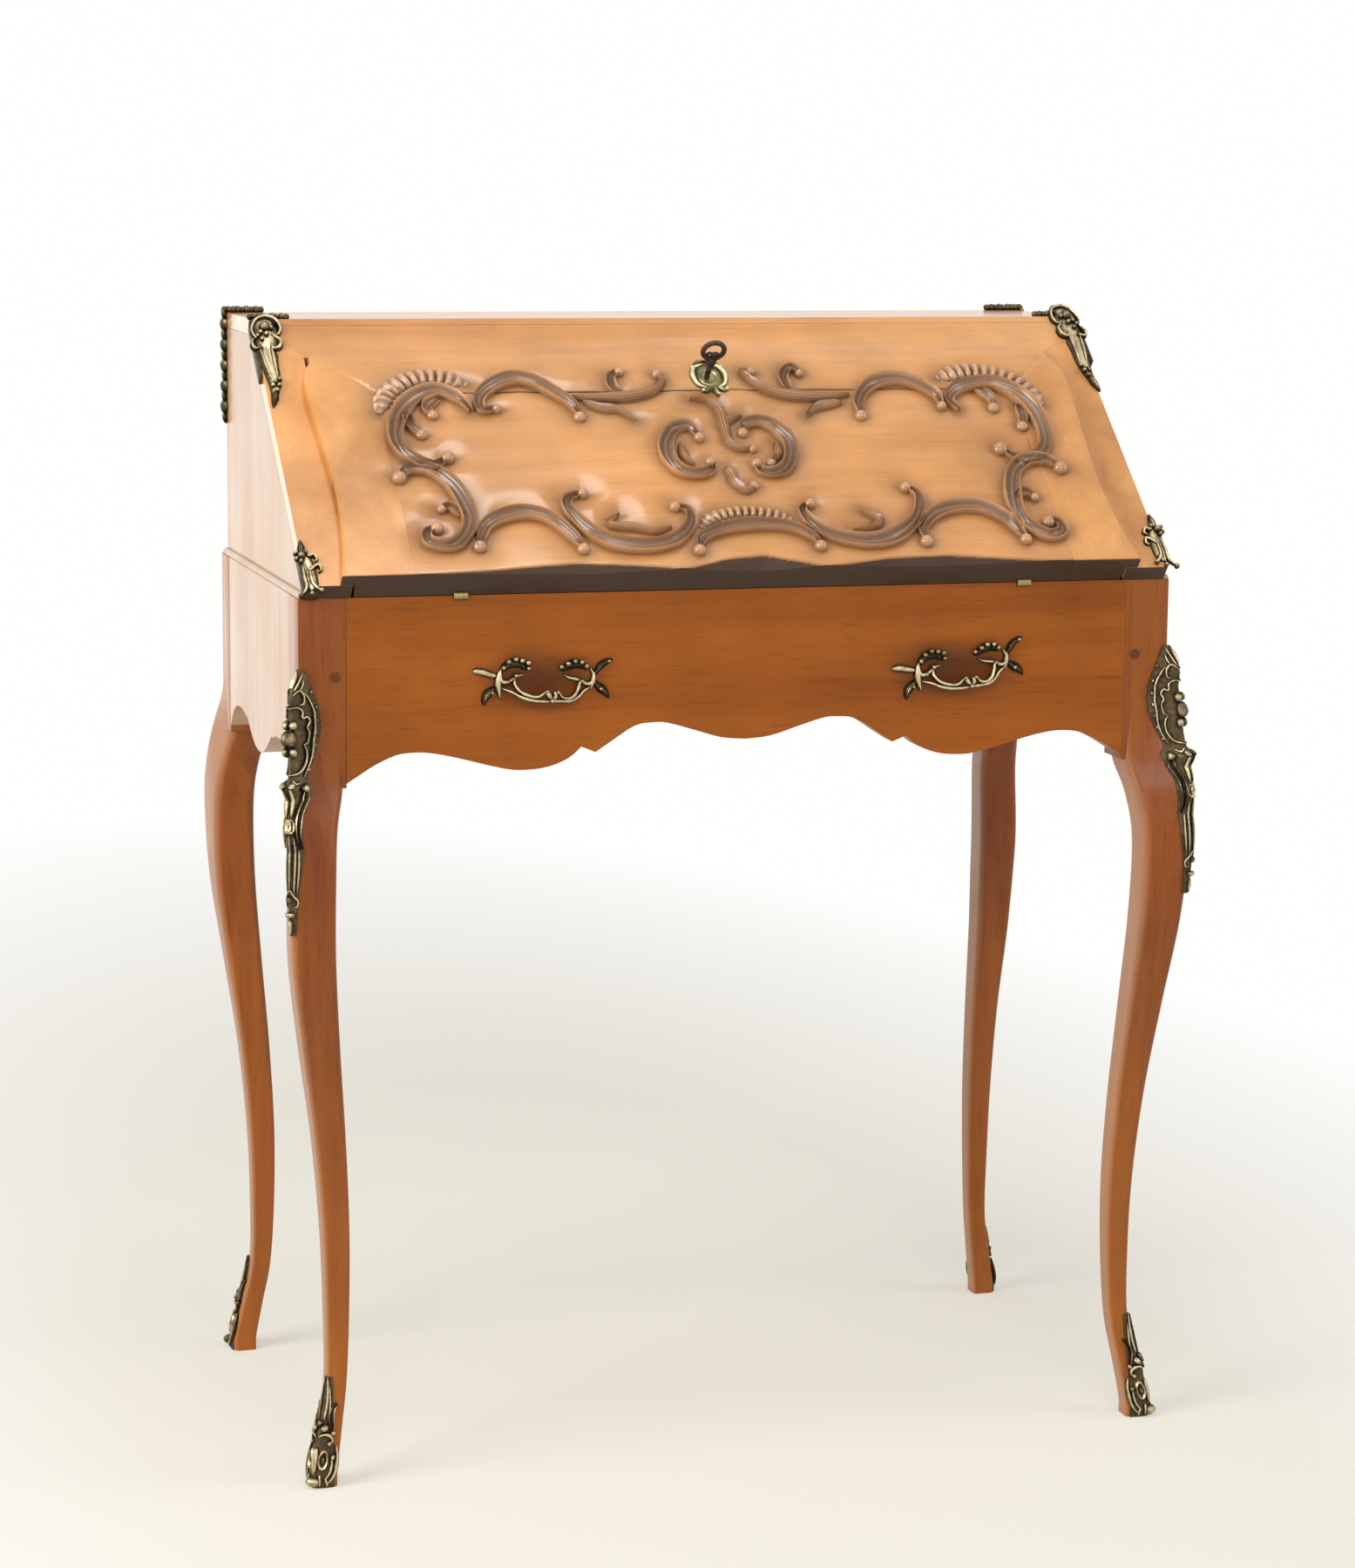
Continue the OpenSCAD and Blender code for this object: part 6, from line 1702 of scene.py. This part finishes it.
@dataclass
class Lid:
    """The lid's boards, cut fine so that their face swells and dips round the carving."""

    grid: float = 5.0
    outer_edge: float = 1.8
    seam_edge: float = 0.22
    # Faces that differ less than flat are one, and edges from rim are eased, in degrees
    flat: float = 0.4
    rim: float = 50.0
    # The panel's swell in the middle, and the places where it has run out, as x and s
    swell: float = 1.6
    swell_x: float = 330.0
    swell_s: tuple[float, float] = (130.0, 145.0)
    # The hollow along the carving: its depth, its reach and the reach of the darker tone along it
    dip: float = 2.8
    dip_reach: float = 15.0
    darkening_reach: float = 14.0
    low_rows: tuple[float, ...] = (1.5, 3.0, 4.5, 6.5, 8.5, 11.0, 13.0)
    # How steeply the worn arris falls, and how quickly it darkens
    fall: float = 0.42
    arris_darkening: float = 0.13
    # Where the worn lower arris runs, as (x, s)
    arris: tuple[tuple[float, float], ...] = (
        (-342, 0), (-293, 1), (-221, 5), (-148, 11), (-77, 4), (-63, 0), (-25, 11), (13, 15), (68, 0),
        (124, 9), (175, 11), (275, 1), (342, 0))
    finishes: dict[str, Wood] = field(default_factory=lambda: {
        "lid_panel": LID, "lid_left_stile": STILE, "lid_right_stile": STILE, "lid_rail": LID})

    def build(self, nodes: Nodes, carving: Carving) -> None:
        """Cuts and swells copies of the four boards.

        Args:
            nodes: The CAD nodes by name.
            carving: The carving on them.
        """
        bed = carving.bed()
        near = kdtree.KDTree(len(bed))
        for i, (x, s) in enumerate(bed):
            near.insert((x, s, 0), i)
        near.balance()
        for name, finish in self.finishes.items():
            self.board(nodes[name], name, finish, near)

    def board(self, node: bpy.types.Object, name: str, finish: Wood, near: kdtree.KDTree) -> None:
        """Makes one board from its CAD node.

        Args:
            node: The CAD node.
            name: Its name.
            finish: What the board is finished with.
            near: Places along the carving.
        """
        place = DESK.on_slope()
        bm = bmesh.new()
        bm.from_mesh(node.data)
        bmesh.ops.remove_doubles(bm, verts=bm.verts, dist=ONE_POINT_M)
        bmesh.ops.transform(bm, matrix=place.inverted(), verts=bm.verts)
        bmesh.ops.dissolve_limit(bm, angle_limit=math.radians(self.flat), verts=bm.verts, edges=bm.edges)
        rim = math.radians(self.rim)
        rims = [e for e in bm.edges if len(e.link_faces) == 2 and e.calc_face_angle() > rim
                and all(v.co.z > DESK.frame_t + 2 for v in e.verts)]
        seams = [e for e in rims if self.is_seam(e)]
        ease(bm, [e for e in rims if not self.is_seam(e)], self.outer_edge, 3)
        ease(bm, [e for e in seams if e.is_valid], self.seam_edge, 1)
        self.cut(bm)
        low = min(v.co.y for v in bm.verts)
        # Marks for darker places and painted shade
        layer = bm.verts.layers.float.new("wear_and_light")
        for v in bm.verts:
            v[layer] = 0.5
            if v.co.z > DESK.frame_t + 4:
                distance = near.find((v.co.x, v.co.y, 0))[2]
                across = max(0.0, 1 - (v.co.x / self.swell_x) ** 2)
                up = max(0.0, 1 - ((v.co.y - self.swell_s[0]) / self.swell_s[1]) ** 2)
                v.co.z += self.swell * across * up - self.dip * math.exp(-(distance / self.dip_reach) ** 2)
                # Darker near the carving
                v[layer] = 0.5 - 0.4 * math.exp(-(distance / self.darkening_reach) ** 2)
                below = between(self.arris, v.co.x) - v.co.y
                if v.co.z > DESK.lid_t - 4:
                    v.co.z -= self.fall * max(0.0, below)
                    # Darker down the worn arris
                    v[layer] = max(0.0, min(v[layer], 0.26 - self.arris_darkening * below))
            # The lower end face, which turns downwards, is marked for painted shade
            if v.co.y < low + 0.3:
                v[layer] = 0.0
        bmesh.ops.transform(bm, matrix=place, verts=bm.verts)
        settle(bm, name + "_face", "lid", finish, [name], 32)

    def cut(self, bm: bmesh.types.BMesh) -> None:
        """Cuts a board's faces along a grid, and closer along its lower edge.

        Args:
            bm: The board, on the slope.
        """
        cuts = []
        for k in (0, 1):
            low, high = (way(v.co[k] for v in bm.verts) for way in (min, max))
            cuts += [(k, i * self.grid + 0.01)
                     for i in range(math.ceil(low / self.grid), math.floor(high / self.grid) + 1)]
        for k, where in cuts + [(1, row) for row in self.low_rows]:
            at, along = Vector((0, 0, 0)), Vector((0, 0, 0))
            at[k], along[k] = where, 1.0
            bmesh.ops.bisect_plane(bm, geom=[*bm.verts, *bm.edges, *bm.faces], dist=ONE_POINT,
                                   plane_co=at, plane_no=along)

    def is_seam(self, edge: bmesh.types.BMEdge) -> bool:
        """Whether an edge lies on a joint between two boards.

        Args:
            edge: The edge.

        Returns:
            Whether it does.
        """
        out = [(abs(v.co.x) - DESK.panel_half, v.co.y - DESK.panel_len) for v in edge.verts]
        gaps = ([x for x, _ in out], [y for _, y in out], [x - y for x, y in out])
        return any(all(abs(gap) < 0.1 for gap in line) for line in gaps)


@dataclass(frozen=True)
class Lamp:
    """A soft lamp: where it stands, how wide it is, its power in watts and its colour."""

    name: str
    at: tuple[float, float, float]
    size: tuple[float, float]
    watts: float
    colour: tuple[float, float, float] = (1.0, 1.0, 1.0)


@dataclass
class Studio:
    """The camera, the lamps, the floor and the white round them."""

    # The lens in rows of the photograph, the rows it has and the sensor's height
    focal: float = 4476.8368
    rows: int = 1800
    sensor: float = 36.0
    at: tuple[float, float, float] = (-985.366, -3350.680, 1140.495)
    yaw: float = 0.284323
    pitch: float = -0.164244
    roll: float = 0.0097976
    aim: tuple[float, float, float] = (0.0, 0.0, 0.6)
    lamps: tuple[Lamp, ...] = (
        Lamp("window", (-2.6, -0.9, 1.9), (1.6, 1.8), 69, (1.0, 0.98, 0.95)),
        Lamp("front", (-0.6, -3.2, 2.6), (2.2, 1.4), 36),
        Lamp("right", (2.6, -1.2, 1.8), (1.4, 1.6), 20),
        Lamp("overhead", (0.0, -0.4, 2.8), (0.7, 0.6), 11),
        Lamp("far window", (-0.95, 2.6, 0.75), (1.3, 1.7), 6))
    around: float = 0.42
    wall: Colour = (255, 255, 254)
    # The floor's tone near the desk, a little darker than the wall: painted shade
    ground: Colour = (238, 234, 223)
    # Half the floor's width in metres, its tone in reflected light, the share of its seen tone that the
    # lamps give, how far from the desk its painted shade lasts, and how it is drawn out behind the desk
    floor_half: float = 9.0
    floor_tone: tuple[float, float, float, float] = (0.84, 0.83, 0.8, 1.0)
    lit_share: float = 0.5
    painted_shade_reach: tuple[float, float] = (0.5, 1.3)
    painted_shade_drawn_out: float = 0.42

    def camera(self) -> None:
        """Sets the camera where the photograph was taken."""
        data = bpy.data.cameras.new("camera")
        data.sensor_fit = "VERTICAL"
        data.sensor_height = self.sensor
        data.lens = self.focal / self.rows * self.sensor
        data.clip_end = 60
        cy, sy = math.cos(self.yaw), math.sin(self.yaw)
        cp, sp = math.cos(self.pitch), math.sin(self.pitch)
        ahead, right = Vector((sy * cp, cy * cp, sp)), Vector((cy, -sy, 0))
        up = right.cross(ahead)
        cr, sr = math.cos(self.roll), math.sin(self.roll)
        matrix = Matrix((right * cr + up * sr, up * cr - right * sr, -ahead)).transposed().to_4x4()
        matrix.translation = Vector(self.at) * MM + Vector((0, DESK.shift * MM, 0))
        cam = bpy.data.objects.new("camera", data)
        cam.matrix_world = matrix
        bpy.context.scene.collection.objects.link(cam)
        bpy.context.scene.camera = cam

    def lights(self) -> None:
        """Hangs the lamps, all aimed at the desk."""
        for lamp in self.lamps:
            data = bpy.data.lights.new(lamp.name, "AREA")
            data.shape = "RECTANGLE"
            data.size, data.size_y = lamp.size
            data.energy = lamp.watts
            data.color = lamp.colour
            obj = bpy.data.objects.new(lamp.name, data)
            obj.location = lamp.at
            obj.rotation_euler = (Vector(self.aim) - Vector(lamp.at)).to_track_quat("-Z", "Y").to_euler()
            obj.visible_camera = False
            bpy.context.scene.collection.objects.link(obj)

    def world(self) -> None:
        """White to the camera and in reflections, and a soft grey light otherwise."""
        world = bpy.data.worlds.new("white room")
        bpy.context.scene.world = world
        world.use_nodes = True
        t = Tree(world.node_tree)
        soft = t.add("ShaderNodeBackground", Color=(1, 1, 1, 1), Strength=self.around).outputs[0]
        white = t.add("ShaderNodeBackground", Color=linear(self.wall), Strength=1.0).outputs[0]
        t.add("ShaderNodeOutputWorld", Surface=t.pick(t.eye(), soft, white))

    def floor(self) -> None:
        """Lays a pale floor that keeps the desk's shadow, with a painted shade round the desk."""
        bm = bmesh.new()
        bmesh.ops.create_grid(bm, x_segments=8, y_segments=8, size=self.floor_half)
        mesh = bpy.data.meshes.new("floor")
        bm.to_mesh(mesh)
        bm.free()
        g = Graph("pale floor")
        tone = linear(self.ground)
        g.set(Base_Color=self.floor_tone, Roughness=0.9)
        # Painted shade round the desk, drawn out behind it, then the white of the wall
        away = g.vectors("LENGTH", _0=g.scaled((1, self.painted_shade_drawn_out, 1), turn=self.yaw))
        lit = g.add("ShaderNodeBsdfDiffuse", Color=[v * self.lit_share for v in tone[:3]] + [1]).outputs[0]
        glow = g.add("ShaderNodeEmission", Color=tone, Strength=1 - self.lit_share).outputs[0]
        near = g.add("ShaderNodeAddShader", _0=lit, _1=glow).outputs[0]
        wall = g.add("ShaderNodeEmission", Color=linear(self.wall), Strength=1.0).outputs[0]
        shown = g.pick(g.run(away, *self.painted_shade_reach), near, wall)
        g.put(g.output, "Surface", g.pick(g.eye(), g.shader.outputs[0], shown))
        mesh.materials.append(g.material)
        floor = bpy.data.objects.new("floor", mesh)
        bpy.context.scene.collection.objects.link(floor)

    def build(self) -> None:
        """Sets up the whole studio."""
        self.camera()
        self.lights()
        self.world()
        self.floor()
        bpy.context.scene.view_settings.view_transform = "Standard"


def main() -> None:
    """Builds the desk round its frame."""
    logging.basicConfig(level=logging.INFO, format="%(message)s")
    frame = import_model()
    nodes = frame["nodes"]
    Case().build(nodes)
    Legs().build(nodes)
    Fittings().build(nodes)
    carving = Carving()
    carving.build()
    Lid().build(nodes, carving)
    Studio().build()


if __name__ == "__main__":
    main()
